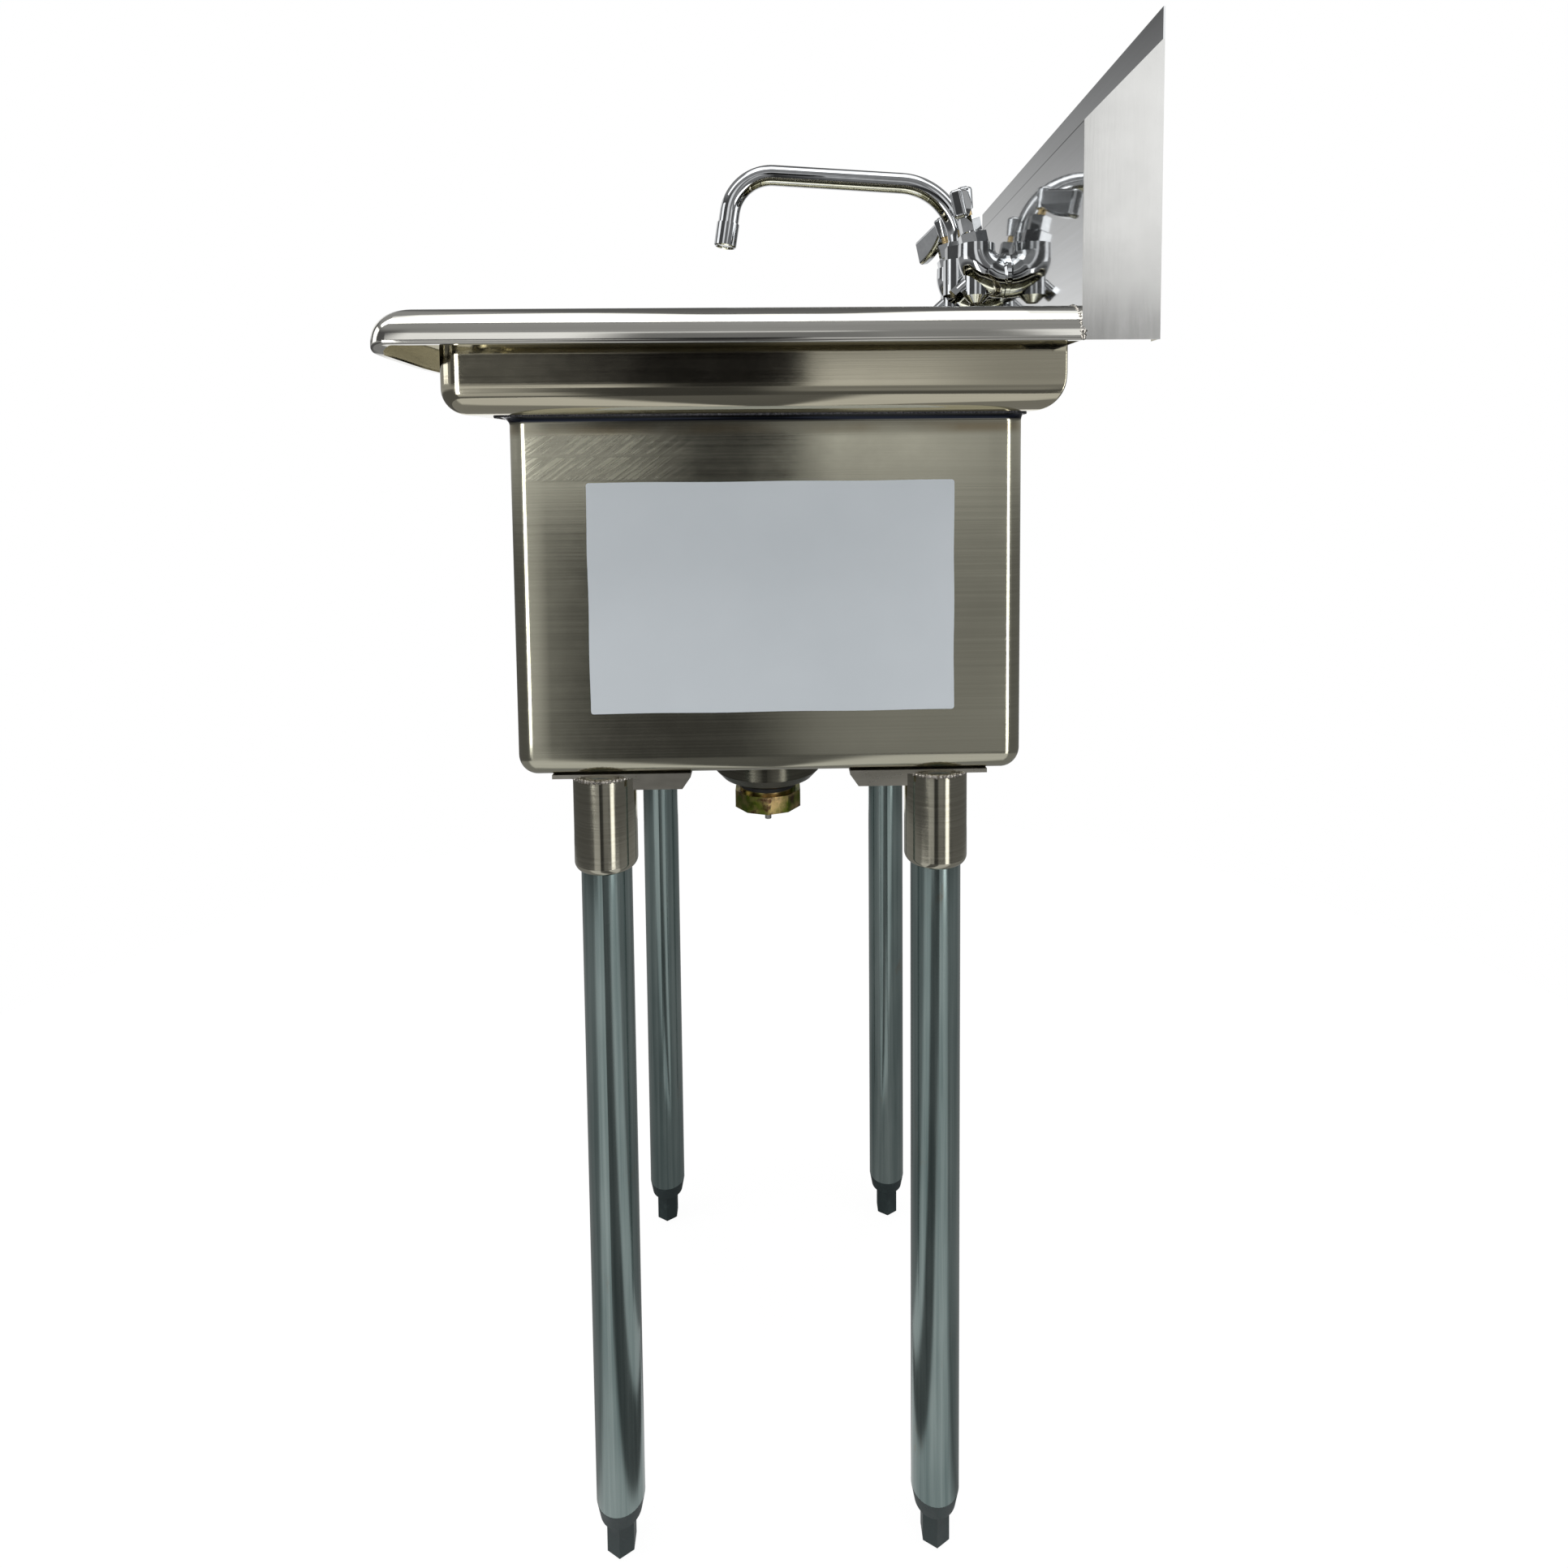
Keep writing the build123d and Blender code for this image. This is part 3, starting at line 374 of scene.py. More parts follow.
tubeFinish = {
    "cold": (0.17, 0.23, 0.225), "pale": (0.39, 0.47, 0.455), "rust": (0.27, 0.19, 0.11),
    "rough": (0.11, 0.22), "metallic": 0.95,
}


def galvanisedMetal(name, cold, pale, rust, rough, metallic):
    # drawn zinc tube: long streaks down its length, paler scuffs and a few warm stains
    material, tree, shader, coords = startMaterial(name)
    streaks = noiseAt(tree, coords, 1.0, stretch=(170, 170, 2.2), detail=5.0, rough=0.65)
    clouds = noiseAt(tree, coords, 1.0, stretch=(30, 30, 6), detail=3.0)
    spots = noiseAt(tree, coords, 1.0, stretch=(22, 22, 9), detail=6.0, rough=0.7)
    tone = calc(tree, "ADD", calc(tree, "MULTIPLY", streaks, 0.6), calc(tree, "MULTIPLY", clouds, 0.4))
    colour = mixColour(tree, remap(tree, tone, 0.36, 0.66, 0.0, 1.0), cold, pale)
    colour = mixColour(tree, remap(tree, spots, 0.60, 0.72, 0.0, 0.55, True), colour, rust)
    join(tree, colour, shader, "Base Color")
    join(tree, remap(tree, tone, 0.35, 0.65, *rough), shader, "Roughness")
    shader.inputs["Metallic"].default_value = metallic
    bumpFrom(tree, shader, streaks, 0.10, 0.0005)
    return material


def mouldedPlastic(name, colour, pale):
    material, tree, shader, coords = startMaterial(name)
    grain = noiseAt(tree, coords, 900.0, detail=3.0)
    scuffs = noiseAt(tree, coords, 60.0, detail=6.0, rough=0.7)
    join(tree, mixColour(tree, remap(tree, scuffs, 0.5, 0.72, 0.0, 0.6), colour, pale), shader, "Base Color")
    join(tree, remap(tree, scuffs, 0.3, 0.7, 0.42, 0.62), shader, "Roughness")
    bumpFrom(tree, shader, grain, 0.15, 0.0004)
    return material


def labelFilm(name, colour, shade):
    # a blank satin film with a very faint unevenness
    material, tree, shader, coords = startMaterial(name)
    clouds = noiseAt(tree, coords, 9.0, detail=3.0)
    ripple = noiseAt(tree, coords, 1.0, stretch=(1, 14, 30), detail=3.0)
    join(tree, mixColour(tree, remap(tree, clouds, 0.3, 0.7, 0.0, 1.0), shade, colour), shader, "Base Color")
    join(tree, remap(tree, ripple, 0.3, 0.7, 0.34, 0.46), shader, "Roughness")
    bumpFrom(tree, shader, ripple, 0.12, 0.002)
    return material


def zincNut(name, green, gold, violet):
    # yellow passivate: its colour drifts between olive green, gold and a violet brown
    material, tree, shader, coords = startMaterial(name)
    drift = noiseAt(tree, coords, 55.0, detail=2.0)
    patch = noiseAt(tree, coords, 90.0, detail=3.0, turn=(0.3, 0.5, 0.2))
    colour = mixColour(tree, remap(tree, drift, 0.38, 0.62, 0.0, 1.0), green, gold)
    colour = mixColour(tree, remap(tree, patch, 0.50, 0.66, 0.0, 0.85, True), colour, violet)
    join(tree, colour, shader, "Base Color")
    join(tree, remap(tree, patch, 0.3, 0.7, 0.16, 0.30), shader, "Roughness")
    shader.inputs["Metallic"].default_value = 1.0
    bumpFrom(tree, shader, noiseAt(tree, coords, 600.0), 0.06, 0.0004)
    return material


finishes = {}
for key, values in brushed.items():
    finishes[key] = brushedMetal("finish_" + key, **values)
finishes["chrome"] = chromeMetal("finish_chrome", **chromeFinish)
finishes["tube"] = galvanisedMetal("finish_tube", **tubeFinish)
finishes["foot"] = mouldedPlastic("finish_foot", (0.023, 0.039, 0.040), (0.07, 0.10, 0.10))
finishes["rubber"] = mouldedPlastic("finish_rubber", (0.012, 0.012, 0.013), (0.04, 0.04, 0.04))
finishes["label"] = labelFilm("finish_label", (0.82, 0.88, 0.925), (0.77, 0.83, 0.875))
finishes["zinc"] = zincNut("finish_zinc", (0.12, 0.17, 0.012), (0.46, 0.33, 0.15), (0.06, 0.022, 0.018))
finishes["rim"] = rimSheet()
finishes["bowl"] = bowlSteel()
print("finishes ready:", len(finishes))

slotFinish = {
    "brushed_stainless": "bowl", "polished_sheet": "splash", "label_film": "label", "plate_steel": "plate",
    "socket_steel": "socket", "galvanised_tube": "tube", "foot_plastic": "foot", "screw_steel": "screw",
    "drain_steel": "drain", "cup_steel": "cup", "black_rubber": "rubber", "zinc_yellow": "zinc",
    "tap_brass": "brass", "tap_chrome": "chrome",
}
for part in frame["record"]["subparts"]:
    dressed = nodes[part["node"]]
    dressed.data.materials.clear()
    dressed.data.materials.append(finishes[slotFinish[part["material_slot"]]])
for name in ("splash_end_cap_left", "splash_end_cap_right"):
    nodes[name].data.materials[0] = finishes["cap"]
nodes["sink_top"].data.materials[0] = finishes["rim"]

# rim and deck pan, one sheet

topLow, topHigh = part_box("sink_top")
pressing = {
    "sheet": 1.2 * mm, "skirt": 24.8 * mm, "hem": 5.0 * mm, "hemBend": 1.6 * mm, "roll": 22.0 * mm,
    "deck": 31.5 * mm, "deckEdge": 5.0 * mm, "lowCorner": 14.0 * mm, "highCorner": 5.0 * mm,
    "panCorner": 16.8 * mm, "panBend": 16.5 * mm, "rearCorner": 1.5 * mm,
    "rearBend": (16.7 * mm, 24.0 * mm), "mouthSide": 28.7 * mm, "mouthCorner": 18.8 * mm,
    "frontSag": 4.5 * mm, "middleSag": 3.0 * mm, "straight": 28, "arc": 10,
}


def rimAndPan():
    # Profile: hem, skirt, quarter-round roll, flat deck, deck edge, pan wall, bottom bend and floor, as
    # distances outwards and heights, carried round rounded rectangles. The second skin is one sheet
    # thickness inside along the profile's normal. The rim's rows leave the rear side open.
    p = pressing
    outer, top = topHigh.x, topHigh.z
    low = top - p["skirt"]
    wall = outer - p["deck"] - p["sheet"]
    floor = topLow.z + p["sheet"]
    rear = topHigh.y - p["sheet"]
    line = [(outer - p["hem"] - p["sheet"], low), (outer - p["hemBend"], low)]
    line += quarter(line[-1], (outer, low + p["hemBend"]), 3, 0) + [(outer, low + p["hemBend"])]
    line += [(outer, top - p["roll"])] + quarter((outer, top - p["roll"]), (outer - p["roll"], top), 18, 1)
    line += [(outer - p["roll"], top), (wall + p["deckEdge"], top)]
    line += quarter((wall + p["deckEdge"], top), (wall, top - p["deckEdge"]), 6, 0)
    rimRows = len(line)
    line += [(wall, z) for z in np.linspace(top - p["deckEdge"], floor + p["rearBend"][1], 6)]
    line += [(wall, floor + p["panBend"] * 1.2), (wall, floor + p["panBend"])]
    line += quarter((wall, floor + p["panBend"]), (wall - p["panBend"], floor), 12, 1)
    line += [(wall - p["panBend"], floor)]
    bendEnd = len(line)
    mouth = outer - p["deck"] - p["mouthSide"]
    line += [(x, floor) for x in np.linspace(wall - p["panBend"], mouth, 5)[1:]]
    across, up = np.array(line).T
    normalAcross, normalUp = profileNormals(across, up)
    rows = np.arange(len(line))
    corner = np.interp(across, [wall, outer - p["roll"], outer],
                       [p["panCorner"], p["highCorner"], p["lowCorner"]])
    corner[rimRows:] = np.maximum(p["panCorner"] - (wall - across[rimRows:]), 0.6 * mm)
    share = np.clip((rows - bendEnd + 1) / (len(line) - bendEnd), 0, 1)
    corner = corner + share * (p["mouthCorner"] - 0.6 * mm)
    rearCorner = np.where(rows < rimRows, 0.0, p["rearCorner"]) + share * (p["mouthCorner"] - p["rearCorner"])
    bendAcross, bendUp = p["rearBend"]
    skins = []
    for inset in (0.0, p["sheet"]):
        half = across - inset * normalAcross
        height = up - inset * normalUp
        lift = np.clip(1 - (height - floor + inset) / (bendUp + inset), 0, 1)
        back = rear + inset - (bendAcross + inset) * (1 - np.sqrt(1 - lift ** 2))
        back = np.where(rows < rimRows, rear, back)
        back = np.where(rows >= bendEnd, rear - bendAcross, back)
        radius = np.maximum(corner - inset * normalAcross, 0.3 * mm)
        plan = roundedLoop(half, -half, back, radius, rearCorner, p["straight"], p["arc"])
        z = np.repeat(height[:, None], plan.shape[1], 1)
        # the front hem hangs lower than the sides, and lowest in the middle
        ahead = np.clip((-plan[..., 1] - outer + p["hem"] * 2.8) / p["hem"], 0, 1)
        inward = np.clip((outer - np.abs(plan[..., 0])) / (outer * 0.35), 0, 1)
        skirt = np.clip((top - p["roll"] * 0.6 - height) / (p["roll"] * 0.5), 0, 1)[:, None]
        z = z - ahead * skirt * (p["frontSag"] * np.clip(inward * 5, 0, 1) + p["middleSag"] * inward)
        skins.append(np.concatenate([plan, z[..., None]], -1))
    columns = skins[0].shape[1]
    rightEnd = 3 * (p["straight"] + p["arc"]) - p["arc"] - 1
    closed = latticeFaces(len(line), columns, wrapColumns=True).reshape(len(line) - 1, columns, 4)
    column = np.arange(columns)
    behind = (column >= rightEnd) & (column < columns - 1)
    keep = ~((np.arange(len(line) - 1)[:, None] < rimRows) & behind[None, :])
    upper = closed[keep]
    edgeColumns = np.concatenate([[columns - 1], np.arange(rightEnd + 1)])
    patches = [(skins[0], upper), (skins[1], upper[:, ::-1])]
    # the sheet's own edges: at the hem, at the bowl's mouth, at the rim's two ends and over the rear wall
    edges = [np.stack([s[0][edgeColumns] for s in skins]), np.stack([s[-1] for s in skins])]
    rearTop = np.stack([s[rimRows][np.arange(rightEnd, columns)] for s in skins])
    ends = [np.stack([s[:rimRows + 1, c] for s in skins]) for c in (columns - 1, rightEnd)]
    patches.append((edges[0], latticeFaces(2, edges[0].shape[1])))
    patches.append((edges[1], latticeFaces(2, edges[1].shape[1], wrapColumns=True)))
    patches += [(strip, latticeFaces(2, strip.shape[1])) for strip in (rearTop, *ends)]
    piece = makePiece("rim_and_pan", patches, finishes["rim"], "sink")
    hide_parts("sink_top")


rimAndPan()
print("rim and pan made")

# bowl

bowlLow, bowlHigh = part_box("bowl")
pressedBowl = {
    "sheet": 1.2 * mm, "flareSide": 9.0 * mm, "flareRear": 2.0 * mm, "flareDrop": 6.3 * mm,
    "corner": 14.5 * mm, "mouthCorner": 20.0 * mm, "bottomBend": 15.5 * mm, "drainRadius": 44.5 * mm,
    "drainY": -4.0 * mm, "straight": 26, "arc": 10,
}


def bowlProfile(inset):
    # flared mouth, upright wall, bottom bend and the edge of the floor, one inset inside the outer skin
    b = pressedBowl
    half = bowlHigh.x - b["flareSide"] - inset
    mouth = (half + b["flareSide"], bowlHigh.z + inset)
    wallTop = bowlHigh.z - b["flareDrop"]
    bend = b["bottomBend"] - inset
    bottom = bowlLow.z + inset
    line = [mouth] + quarter(mouth, (half, wallTop), 6, 0) + [(half, wallTop)]
    line += [(half, z) for z in np.linspace(wallTop, bottom + bend, 22)[1:]]
    line += quarter((half, bottom + bend), (half - bend, bottom), 12, 1) + [(half - bend, bottom)]
    return half, np.array(line)


def bowlShell():
    # The profile is carried round a rounded square whose corners tighten in the bend; the floor's rows
    # blend from the square into the drain's circle, each point keeping its bearing from the drain.
    b = pressedBowl
    skins = []
    for inset in (0.0, b["sheet"]):
        half, line = bowlProfile(inset)
        across, up = line.T
        flare = np.clip((across - half) / b["flareSide"], 0, 1)
        corner = b["corner"] - inset + flare * (b["mouthCorner"] - b["corner"])
        corner = np.maximum(corner - np.clip(half - across, 0, None), 0.4 * mm)
        back = across - flare * (b["flareSide"] - b["flareRear"])
        plan = roundedLoop(across, -across, back, corner, corner, b["straight"], b["arc"])
        walls = np.concatenate([plan, np.repeat(up[:, None], plan.shape[1], 1)[..., None]], -1)
        last = walls[-1]
        bearing = np.arctan2(last[:, 1] - b["drainY"], last[:, 0])
        circle = b["drainRadius"] * np.stack([np.cos(bearing), np.sin(bearing)], -1)
        hole = np.concatenate([circle + (0, b["drainY"]), last[:, 2:]], -1)
        share = np.linspace(0, 1, 8)[1:].reshape(-1, 1, 1)
        skins.append(np.concatenate([walls, last + share * (hole - last)]))
    rows, columns = skins[0].shape[:2]
    faces = latticeFaces(rows, columns, wrapColumns=True)
    strips = [np.stack([s[k] for s in skins]) for k in (0, -1)]
    patches = [(skins[0], faces), (skins[1], faces[:, ::-1])]
    patches += [(strip, latticeFaces(2, columns, wrapColumns=True)) for strip in strips]
    piece = makePiece("bowl_shell", patches, finishes["bowl"], "sink")
    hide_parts("bowl")


bowlShell()
print("bowl made")

# blank label

labelLow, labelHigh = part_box("side_label")
blankLabel = {"corner": 2.0 * mm, "edgeRipple": 0.2 * mm, "lift": 0.03 * mm, "across": 90, "up": 60}


def label():
    # A flat lattice whose corner squares are mapped into quarter discs, a*sqrt(1-b*b/2), with slightly
    # uneven edges; the front face is one thickness out from the back face.
    v = blankLabel
    halfY = (labelHigh.y - labelLow.y) / 2 - v["edgeRipple"]
    halfZ = (labelHigh.z - labelLow.z) / 2 - v["edgeRipple"]
    near = np.linspace(0, v["corner"], 6)[:-1]
    lineY = np.concatenate([near - halfY, np.linspace(v["corner"] - halfY, halfY - v["corner"], v["across"]),
                            halfY - near[::-1]])
    lineZ = np.concatenate([near - halfZ, np.linspace(v["corner"] - halfZ, halfZ - v["corner"], v["up"]),
                            halfZ - near[::-1]])
    y, z = np.meshgrid(lineY, lineZ, indexing="ij")
    a = np.clip((np.abs(y) - halfY + v["corner"]) / v["corner"], 0, 1)
    b = np.clip((np.abs(z) - halfZ + v["corner"]) / v["corner"], 0, 1)
    roundY = (halfY - v["corner"] + v["corner"] * a * np.sqrt(1 - b * b / 2)) * np.sign(y)
    roundZ = (halfZ - v["corner"] + v["corner"] * b * np.sqrt(1 - a * a / 2)) * np.sign(z)
    y = np.where(a * b > 0, roundY, y)
    z = np.where(a * b > 0, roundZ, z)
    edgeY = np.clip(np.abs(y) / halfY, 0, 1) ** 12
    edgeZ = np.clip(np.abs(z) / halfZ, 0, 1) ** 12
    ripple = np.sin(y * 140 + 1.1) * np.sin(z * 90 + 0.4)
    z = z + v["edgeRipple"] * edgeZ * np.sin(y * 61 + 0.7)
    y = y + v["edgeRipple"] * edgeY * np.sin(z * 83 + 1.9)
    middleY = (labelHigh.y + labelLow.y) / 2
    middleZ = (labelHigh.z + labelLow.z) / 2
    back = np.stack([np.full_like(y, labelLow.x), y + middleY, z + middleZ], -1)
    front = back.copy()
    front[..., 0] = labelHigh.x - v["lift"] * (1 - ripple * (1 - edgeY) * (1 - edgeZ))
    rows, columns = y.shape
    faces = latticeFaces(rows, columns)
    ringRow = np.concatenate([np.zeros(columns - 1, int), np.arange(rows - 1), np.full(columns - 1, rows - 1),
                              np.arange(rows - 1, 0, -1)])
    ringColumn = np.concatenate([np.arange(columns - 1), np.full(rows - 1, columns - 1),
                                 np.arange(columns - 1, 0, -1), np.zeros(rows - 1, int)])
    edge = np.stack([back[ringRow, ringColumn], front[ringRow, ringColumn]])
    patches = [(back, faces[:, ::-1]), (front, faces)]
    patches.append((edge, latticeFaces(2, edge.shape[1], wrapColumns=True)))
    piece = makePiece("blank_label", patches, finishes["label"], "sink")
    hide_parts("side_label")


label()
print("label made")

# welds

welds = {
    "capBead": 2.1 * mm, "capSink": 0.3 * mm, "capBack": 0.2 * mm, "capDeck": 5 * mm, "capFlat": 0.5,
    "socketBead": 1.5 * mm, "socketDrop": 0.6 * mm, "seamBead": 0.8 * mm, "seamDrop": 0.3 * mm,
    "step": 0.7 * mm, "ripple": 0.3, "pitch": 2.6 * mm, "roughness": 1130.0,
}


def evenPath(points, step, closed):
    # points spread evenly along a polyline, about one step apart, and their distances along it
    if closed:
        points = np.concatenate([points, points[:1]])
    length = np.concatenate([[0], np.cumsum(np.linalg.norm(np.diff(points, axis=0), axis=1))])
    count = max(int(length[-1] / step), 8)
    spots = np.linspace(0, length[-1], count, endpoint=not closed)
    return np.stack([np.interp(spots, length, points[:, k]) for k in range(3)], -1), spots


def beadPatches(points, radius, closed=False, flatten=1.0, sideways=None, sides=8):
    # a weld bead: a tube whose radius swells once for every pitch, closed by a centre point at each end
    path, spots = evenPath(points, welds["step"], closed)
    swell = np.sin(spots / welds["pitch"] * 2 * math.pi) + 0.6 * np.sin(spots * welds["roughness"] + 0.6)
    size = radius * (1 + welds["ripple"] * swell)
    if not closed:
        size = size * np.clip(np.minimum(spots, spots[-1] - spots) / radius + 0.15, 0, 1)
    rings = tubeAlong(path, size, sides, closed, flatten, sideways)
    patches = [(rings, latticeFaces(len(path), sides, wrapRows=closed, wrapColumns=True))]
    side = np.arange(sides)
    fan = np.stack([side, (side + 1) % sides, np.full(sides, sides)], -1)
    if not closed:
        for ring in (rings[0], rings[-1]):
            patches.append((np.concatenate([ring, ring.mean(0, keepdims=True)]), fan))
    return patches


def capWelds():
    # one bead over the end of the rim on each side, where it meets the splash's end cap
    low, outer, top = topHigh.z - pressing["skirt"], topHigh.x, topHigh.z
    roll = pressing["roll"]
    line = [(outer, low), (outer, top - roll)] + quarter((outer, top - roll), (outer - roll, top), 18, 1)
    line += [(outer - roll, top), (outer - pressing["deck"] + welds["capDeck"], top)]
    across, up = np.array(line).T
    back = np.full_like(up, topHigh.y - welds["capBack"])
    patches = []
    for side in (-1, 1):
        points = np.stack([side * (across - welds["capSink"]), back, up - welds["capSink"]], -1)
        patches += beadPatches(points, welds["capBead"], flatten=welds["capFlat"], sideways=(0, 1, 0))
    makePiece("cap_welds", patches, finishes["weld"], "sink", 60)


def socketWelds():
    # a bead round the top of each leg socket, under its gusset plate
    turn = np.linspace(0, 2 * math.pi, 48, endpoint=False)
    patches = []
    for name in ("front_left", "front_right", "rear_left", "rear_right"):
        low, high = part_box("leg_socket_" + name)
        middle = (low + high) / 2
        reach = (high.x - low.x) / 2
        points = np.stack([middle.x + reach * np.cos(turn), middle.y + reach * np.sin(turn),
                           np.full_like(turn, high.z - welds["socketDrop"])], -1)
        patches += beadPatches(points, welds["socketBead"], closed=True)
    makePiece("socket_welds", patches, finishes["weld"], "sink", 60)


def seamWeld():
    # a fine bead in the corner between the bowl's flared mouth and the underside of the pan
    b = pressedBowl
    half = bowlHigh.x
    back = half - b["flareSide"] + b["flareRear"]
    plan = roundedLoop(half, -half, back, b["mouthCorner"], b["mouthCorner"], b["straight"], b["arc"])
    points = np.concatenate([plan[0], np.full((plan.shape[1], 1), bowlHigh.z - welds["seamDrop"])], -1)
    patches = beadPatches(points, welds["seamBead"], closed=True, sides=6)
    makePiece("seam_weld", patches, finishes["burntAndShade"], "sink", 60)


capWelds()
socketWelds()
seamWeld()
print("welds made")

# tap castings

casting = {
    # each valve's body bends from its barrel to the splash, thickest at the bend
    "halfSpread": 50.8 * mm, "valveY": 179.5 * mm, "topZ": 1046.0 * mm, "bendZ": 1040.0 * mm,
    "inletZ": 1018.0 * mm, "topRadius": 15.6 * mm, "bendRadius": 18.0 * mm, "wallRadius": 16.5 * mm,
    "wallGap": 0.2 * mm, "rings": 26, "sides": 40,
}


def castings():
    # a tube along a short upright line and a quarter ellipse, with a fuller middle, closed at both ends
    c = casting
    wallY = topHigh.y - pressing["sheet"] - c["wallGap"]
    line = [(c["valveY"], c["topZ"]), (c["valveY"], c["bendZ"])]
    line += quarter(line[-1], (wallY, c["inletZ"]), c["rings"], 1) + [(wallY, c["inletZ"])]
    across, up = np.array(line).T
    share = np.linspace(0, 1, len(line))
    radius = np.interp(share, [0, 0.55, 1], [c["topRadius"], c["bendRadius"], c["wallRadius"]])
    side = np.arange(c["sides"])
    fan = np.stack([side, (side + 1) % c["sides"], np.full(c["sides"], c["sides"])], -1)
    patches = []
    for x in (-c["halfSpread"], c["halfSpread"]):
        path = np.stack([np.full_like(across, x), across, up], -1)
        rings = tubeAlong(path, radius, c["sides"], sideways=(1, 0, 0))
        patches.append((rings, latticeFaces(len(line), c["sides"], wrapColumns=True)))
        for ring in (rings[0], rings[-1]):
            patches.append((np.concatenate([ring, ring.mean(0, keepdims=True)]), fan))
    makePiece("tap_castings", patches, finishes["chrome"], "sink")


castings()
print("castings made")

# studio

studio = {
    # radiance of the room by height angle in degrees
    "cameraSide": [(-90, 0.16), (-60, 0.10), (-40, 0.10), (-24, 0.11), (-14, 0.20), (-6, 0.24), (0, 0.40),
                   (2.2, 0.36), (8, 0.30), (9.5, 1.1), (26, 1.1), (29, 0.34), (64, 0.34), (68, 1.8),
                   (90, 1.8)],
    "farSide": [(-90, 0.42), (-45, 0.6), (-25, 0.95), (6, 0.95), (12, 0.6), (17, 0.35), (24, 0.10),
                (50, 0.14), (80, 0.17), (86, 2.2), (90, 2.2)],
    # where the far side gives way to the camera's, and where reflections go from room to white
    "sideMix": (-0.93, -0.82), "whiteHeight": (0.02, 0.12), "whiteDepth": (-0.95, -0.85),
}
panels = {
    # pale and dark things on the camera's side: bearing and height in degrees, soft edges, radiance
    "leftSide": dict(bearing=(-150, -45), soft=(8, 8), height=(-75, -3), lift=(8, 4), level=0.11),
    "rightSide": dict(bearing=(54, 150), soft=(8, 8), height=(-75, -3), lift=(8, 4), level=0.15),
    "leftCurtain": dict(bearing=(-125, -27), soft=(8, 4), height=(7, 36), lift=(2, 8), level=0.10),
    "rightCurtain": dict(bearing=(32, 125), soft=(4, 8), height=(7, 36), lift=(2, 8), level=0.12),
    "cameraShade": dict(bearing=(-10.5, 9), soft=(2.5, 3), height=(7, 25), lift=(1.5, 3), level=0.20),
    "tapShade": dict(bearing=(6, 16.5), soft=(3, 2), height=(8, 30), lift=(1, 3), level=0.28),
    "leftWall": dict(bearing=(-60, -9), soft=(8, 4), height=(2.6, 8), lift=(0.8, 1), level=0.08),
    "leftGlow": dict(bearing=(-40, -7.5), soft=(8, 3), height=(-2.2, 1.8), lift=(1, 0.8), level=0.70),
    "leftLow": dict(bearing=(-42, -16), soft=(6, 3), height=(-19, -3.5), lift=(3, 1), level=0.46),
    "column": dict(bearing=(-12.5, 2.2), soft=(4, 0.3), height=(2.2, 9), lift=(0.6, 1), level=0.005),
    "stripColumn": dict(bearing=(-8, 1.6), soft=(3, 0.5), height=(-3, 3), lift=(1, 1), level=0.03),
    "rightWall": dict(bearing=(2.2, 11), soft=(0.3, 4), height=(-1.5, 5.6), lift=(1.5, 1.4), level=0.66),
    "lowScreen": dict(bearing=(-13, 0), soft=(3, 2), height=(-48, -3), lift=(4, 1), level=0.05),
    "lowRight": dict(bearing=(2, 22), soft=(3, 5), height=(-24, -12), lift=(3, 3), level=0.28),
    "stripe": dict(bearing=(28, 41), soft=(3, 3), height=(-36, -17), lift=(4, 3), level=2.3),
    "faintStripe": dict(bearing=(-34, -14), soft=(4, 2), height=(-33, -20), lift=(4, 2), level=0.5),
}


def heightRamp(tree, height, stops):
    # a colour ramp over -1..1 of the direction's upward share, in linear steps between the stops
    ramp = addNode(tree, "ShaderNodeValToRGB")
    spread = remap(tree, height, -1.0, 1.0, 0.0, 1.0)
    join(tree, spread, ramp, 0)
    points = ramp.color_ramp.elements
    while len(points) < len(stops):
        points.new(0.5)
    for point, (angle, level) in zip(points, stops):
        point.position = 0.5 + 0.5 * math.sin(math.radians(angle))
        point.color = (level, level, level, 1.0)
    return ramp.outputs[0]


def window(tree, value, ends, soft):
    # 1 between two angles in degrees, with its own soft edge at each end
    low, high = math.radians(ends[0]), math.radians(ends[1])
    first, second = math.radians(soft[0]), math.radians(soft[1])
    return calc(tree, "MULTIPLY", remap(tree, value, low - first, low + first, 0.0, 1.0, True),
                remap(tree, value, high - second, high + second, 1.0, 0.0, True))


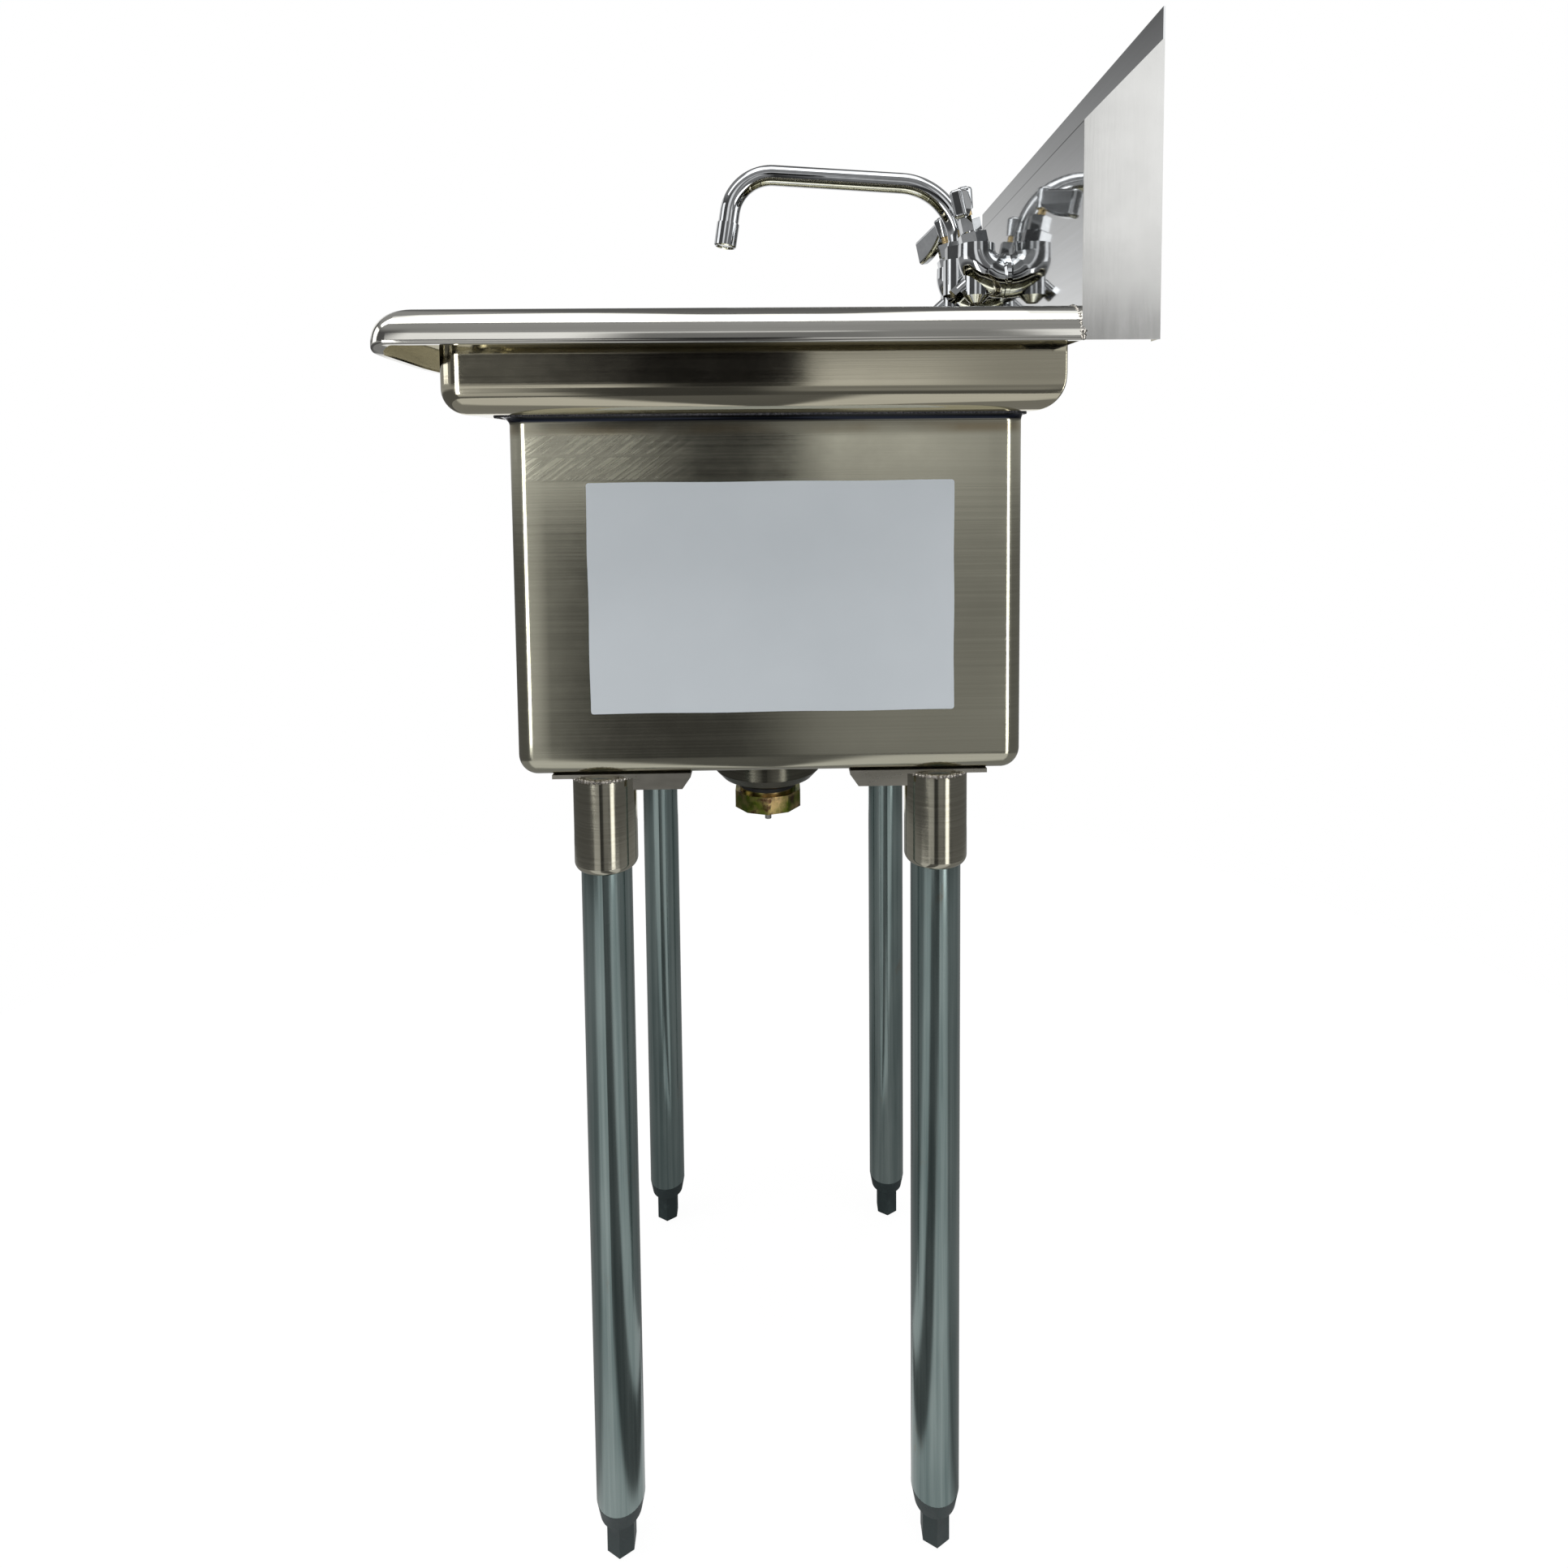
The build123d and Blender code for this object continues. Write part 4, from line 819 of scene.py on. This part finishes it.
def makeWorld():
    world = bpy.data.worlds.new("studio")
    bpy.context.scene.world = world
    world.use_nodes = True
    tree = world.node_tree
    tree.nodes.clear()
    x, y, z = axes(tree, addNode(tree, "ShaderNodeTexCoord").outputs["Generated"])
    near = heightRamp(tree, z, studio["cameraSide"])
    far = heightRamp(tree, z, studio["farSide"])
    bearing = calc(tree, "ARCTAN2", y, x)
    side = remap(tree, calc(tree, "COSINE", bearing, 0.0), *studio["sideMix"], 0.0, 1.0, True)
    room = mixColour(tree, side, far, near)
    height = calc(tree, "ARCSINE", z, 0.0)
    for panel in panels.values():
        inside = calc(tree, "MULTIPLY", window(tree, bearing, panel["bearing"], panel["soft"]),
                      window(tree, height, panel["height"], panel["lift"]))
        room = mixColour(tree, inside, room, (panel["level"],) * 3)
    rays = addNode(tree, "ShaderNodeLightPath")
    # the white background: all that the camera sees, and in reflections the part behind the sink
    behind = calc(tree, "MULTIPLY", remap(tree, z, *studio["whiteHeight"], 1.0, 0.0, True),
                  remap(tree, x, *studio["whiteDepth"], 1.0, 0.0, True))
    mirrored = calc(tree, "MAXIMUM", rays.outputs["Is Glossy Ray"], rays.outputs["Is Transmission Ray"])
    white = calc(tree, "MAXIMUM", rays.outputs["Is Camera Ray"], calc(tree, "MULTIPLY", mirrored, behind))
    colour = mixColour(tree, white, room, (1.0, 1.0, 1.0))
    background = addNode(tree, "ShaderNodeBackground")
    join(tree, colour, background, "Color")
    out = addNode(tree, "ShaderNodeOutputWorld")
    join(tree, background.outputs[0], out, "Surface")


ground = {
    # how bright the camera sees it, how grey it is under the lamps, and its tones in reflections
    "radius": 1.35, "sides": 96, "drop": 0.4 * mm, "glow": 0.96, "matt": (0.08, 0.08, 0.08, 1.0),
    "leftWedge": ((-50, -19), (6, 3)), "rightWedge": ((9, 46), (3, 6)), "wedgeTone": 0.55,
    "ahead": ((-50, 50), (6, 6)), "aheadLoss": 0.15, "plainTone": 0.20,
}


def makeFloor():
    g = ground
    turn = np.linspace(0, 2 * math.pi, g["sides"], endpoint=False)
    ring = np.stack([g["radius"] * np.cos(turn), g["radius"] * np.sin(turn),
                     np.full(g["sides"], -g["drop"])], 1)
    mesh = bpy.data.meshes.new("floor")
    mesh.from_pydata(ring.tolist(), [], [list(range(g["sides"]))])
    floor = bpy.data.objects.new("floor", mesh)
    bpy.context.scene.collection.objects.link(floor)
    material = bpy.data.materials.new("floor_pale")
    material.use_nodes = True
    tree = material.node_tree
    tree.nodes.clear()
    rays = addNode(tree, "ShaderNodeLightPath")
    seen = calc(tree, "MAXIMUM", rays.outputs["Is Camera Ray"], rays.outputs["Is Transmission Ray"])
    # in reflections it is darker in front than behind, with a paler wedge on each side
    x, y, z = axes(tree, addNode(tree, "ShaderNodeTexCoord").outputs["Object"])
    bearing = calc(tree, "ARCTAN2", y, x)
    wedges = calc(tree, "ADD", window(tree, bearing, *g["rightWedge"]),
                  window(tree, bearing, *g["leftWedge"]))
    darker = calc(tree, "MULTIPLY", window(tree, bearing, *g["ahead"]), g["aheadLoss"])
    mirrored = calc(tree, "SUBTRACT", g["plainTone"], darker)
    mirrored = calc(tree, "ADD", calc(tree, "MULTIPLY", wedges, g["wedgeTone"]), mirrored)
    seen = calc(tree, "MAXIMUM", seen, calc(tree, "MULTIPLY", rays.outputs["Is Glossy Ray"], mirrored))
    matt = addNode(tree, "ShaderNodeBsdfDiffuse")
    matt.inputs["Color"].default_value = g["matt"]
    glow = addNode(tree, "ShaderNodeEmission")
    join(tree, calc(tree, "MULTIPLY", seen, g["glow"]), glow, "Strength")
    both = addNode(tree, "ShaderNodeAddShader")
    join(tree, matt.outputs[0], both, 0)
    join(tree, glow.outputs[0], both, 1)
    out = addNode(tree, "ShaderNodeOutputMaterial")
    join(tree, both.outputs[0], out, "Surface")
    mesh.materials.append(material)


lamps = {
    # place, size across and up, radiance, aimed at this point
    "softbox_left": dict(place=(2.3, -1.5, 0.55), size=(0.55, 1.3), radiance=5.0, aim=(0, 0, 0.6)),
    "softbox_right": dict(place=(2.1, 1.5, 0.55), size=(0.45, 1.3), radiance=5.0, aim=(0, 0, 0.6)),
    "softbox_top": dict(place=(0.75, 0.0, 3.2), size=(1.0, 5.2), radiance=2.2, aim=(0.75, 0, 0.9)),
    "softbox_front": dict(place=(0.3, -3.0, 1.9), size=(1.6, 1.6), radiance=1.6, aim=(0, 0, 0.8)),
}


def makeLamp(name, place, size, radiance, aim):
    lamp = bpy.data.lights.new(name, "AREA")
    lamp.shape = "RECTANGLE"
    lamp.size = size[0]
    lamp.size_y = size[1]
    lamp.energy = radiance * math.pi * size[0] * size[1]
    holder = bpy.data.objects.new(name, lamp)
    holder.location = place
    look = Vector(aim) - Vector(place)
    holder.rotation_euler = look.to_track_quat("-Z", "Y").to_euler()
    bpy.context.scene.collection.objects.link(holder)


view = {
    "place": (0.8491, 0.0054, 0.8696), "yaw": -0.0207, "pitch": -0.0645, "roll": 0.0091,
    "focalPixels": 1139.3, "middle": (978.6, 633.1), "picture": 1932.0, "sensor": 36.0,
}


def makeCamera():
    # looks along -X; yaw, pitch and roll turn it about its own up, right and forward axes
    ahead, right, up = Vector((-1, 0, 0)), Vector((0, 1, 0)), Vector((0, 0, 1))
    turn = (Matrix.Rotation(view["yaw"], 3, up) @ Matrix.Rotation(view["pitch"], 3, right)
            @ Matrix.Rotation(view["roll"], 3, ahead))
    turned = Matrix((turn @ right, turn @ up, -(turn @ ahead))).transposed()
    camera = bpy.data.cameras.new("camera")
    camera.sensor_width = view["sensor"]
    camera.lens = view["focalPixels"] / view["picture"] * view["sensor"]
    half = view["picture"] / 2
    camera.shift_x = (half - view["middle"][0]) / view["picture"]
    camera.shift_y = (view["middle"][1] - half) / view["picture"]
    camera.clip_start = 0.02
    holder = bpy.data.objects.new("camera", camera)
    holder.matrix_world = Matrix.Translation(view["place"]) @ turned.to_4x4()
    bpy.context.scene.collection.objects.link(holder)
    bpy.context.scene.camera = holder


makeWorld()
makeFloor()
for name, values in lamps.items():
    makeLamp(name, **values)
makeCamera()
bpy.context.scene.view_settings.view_transform = "Standard"
print("studio ready")
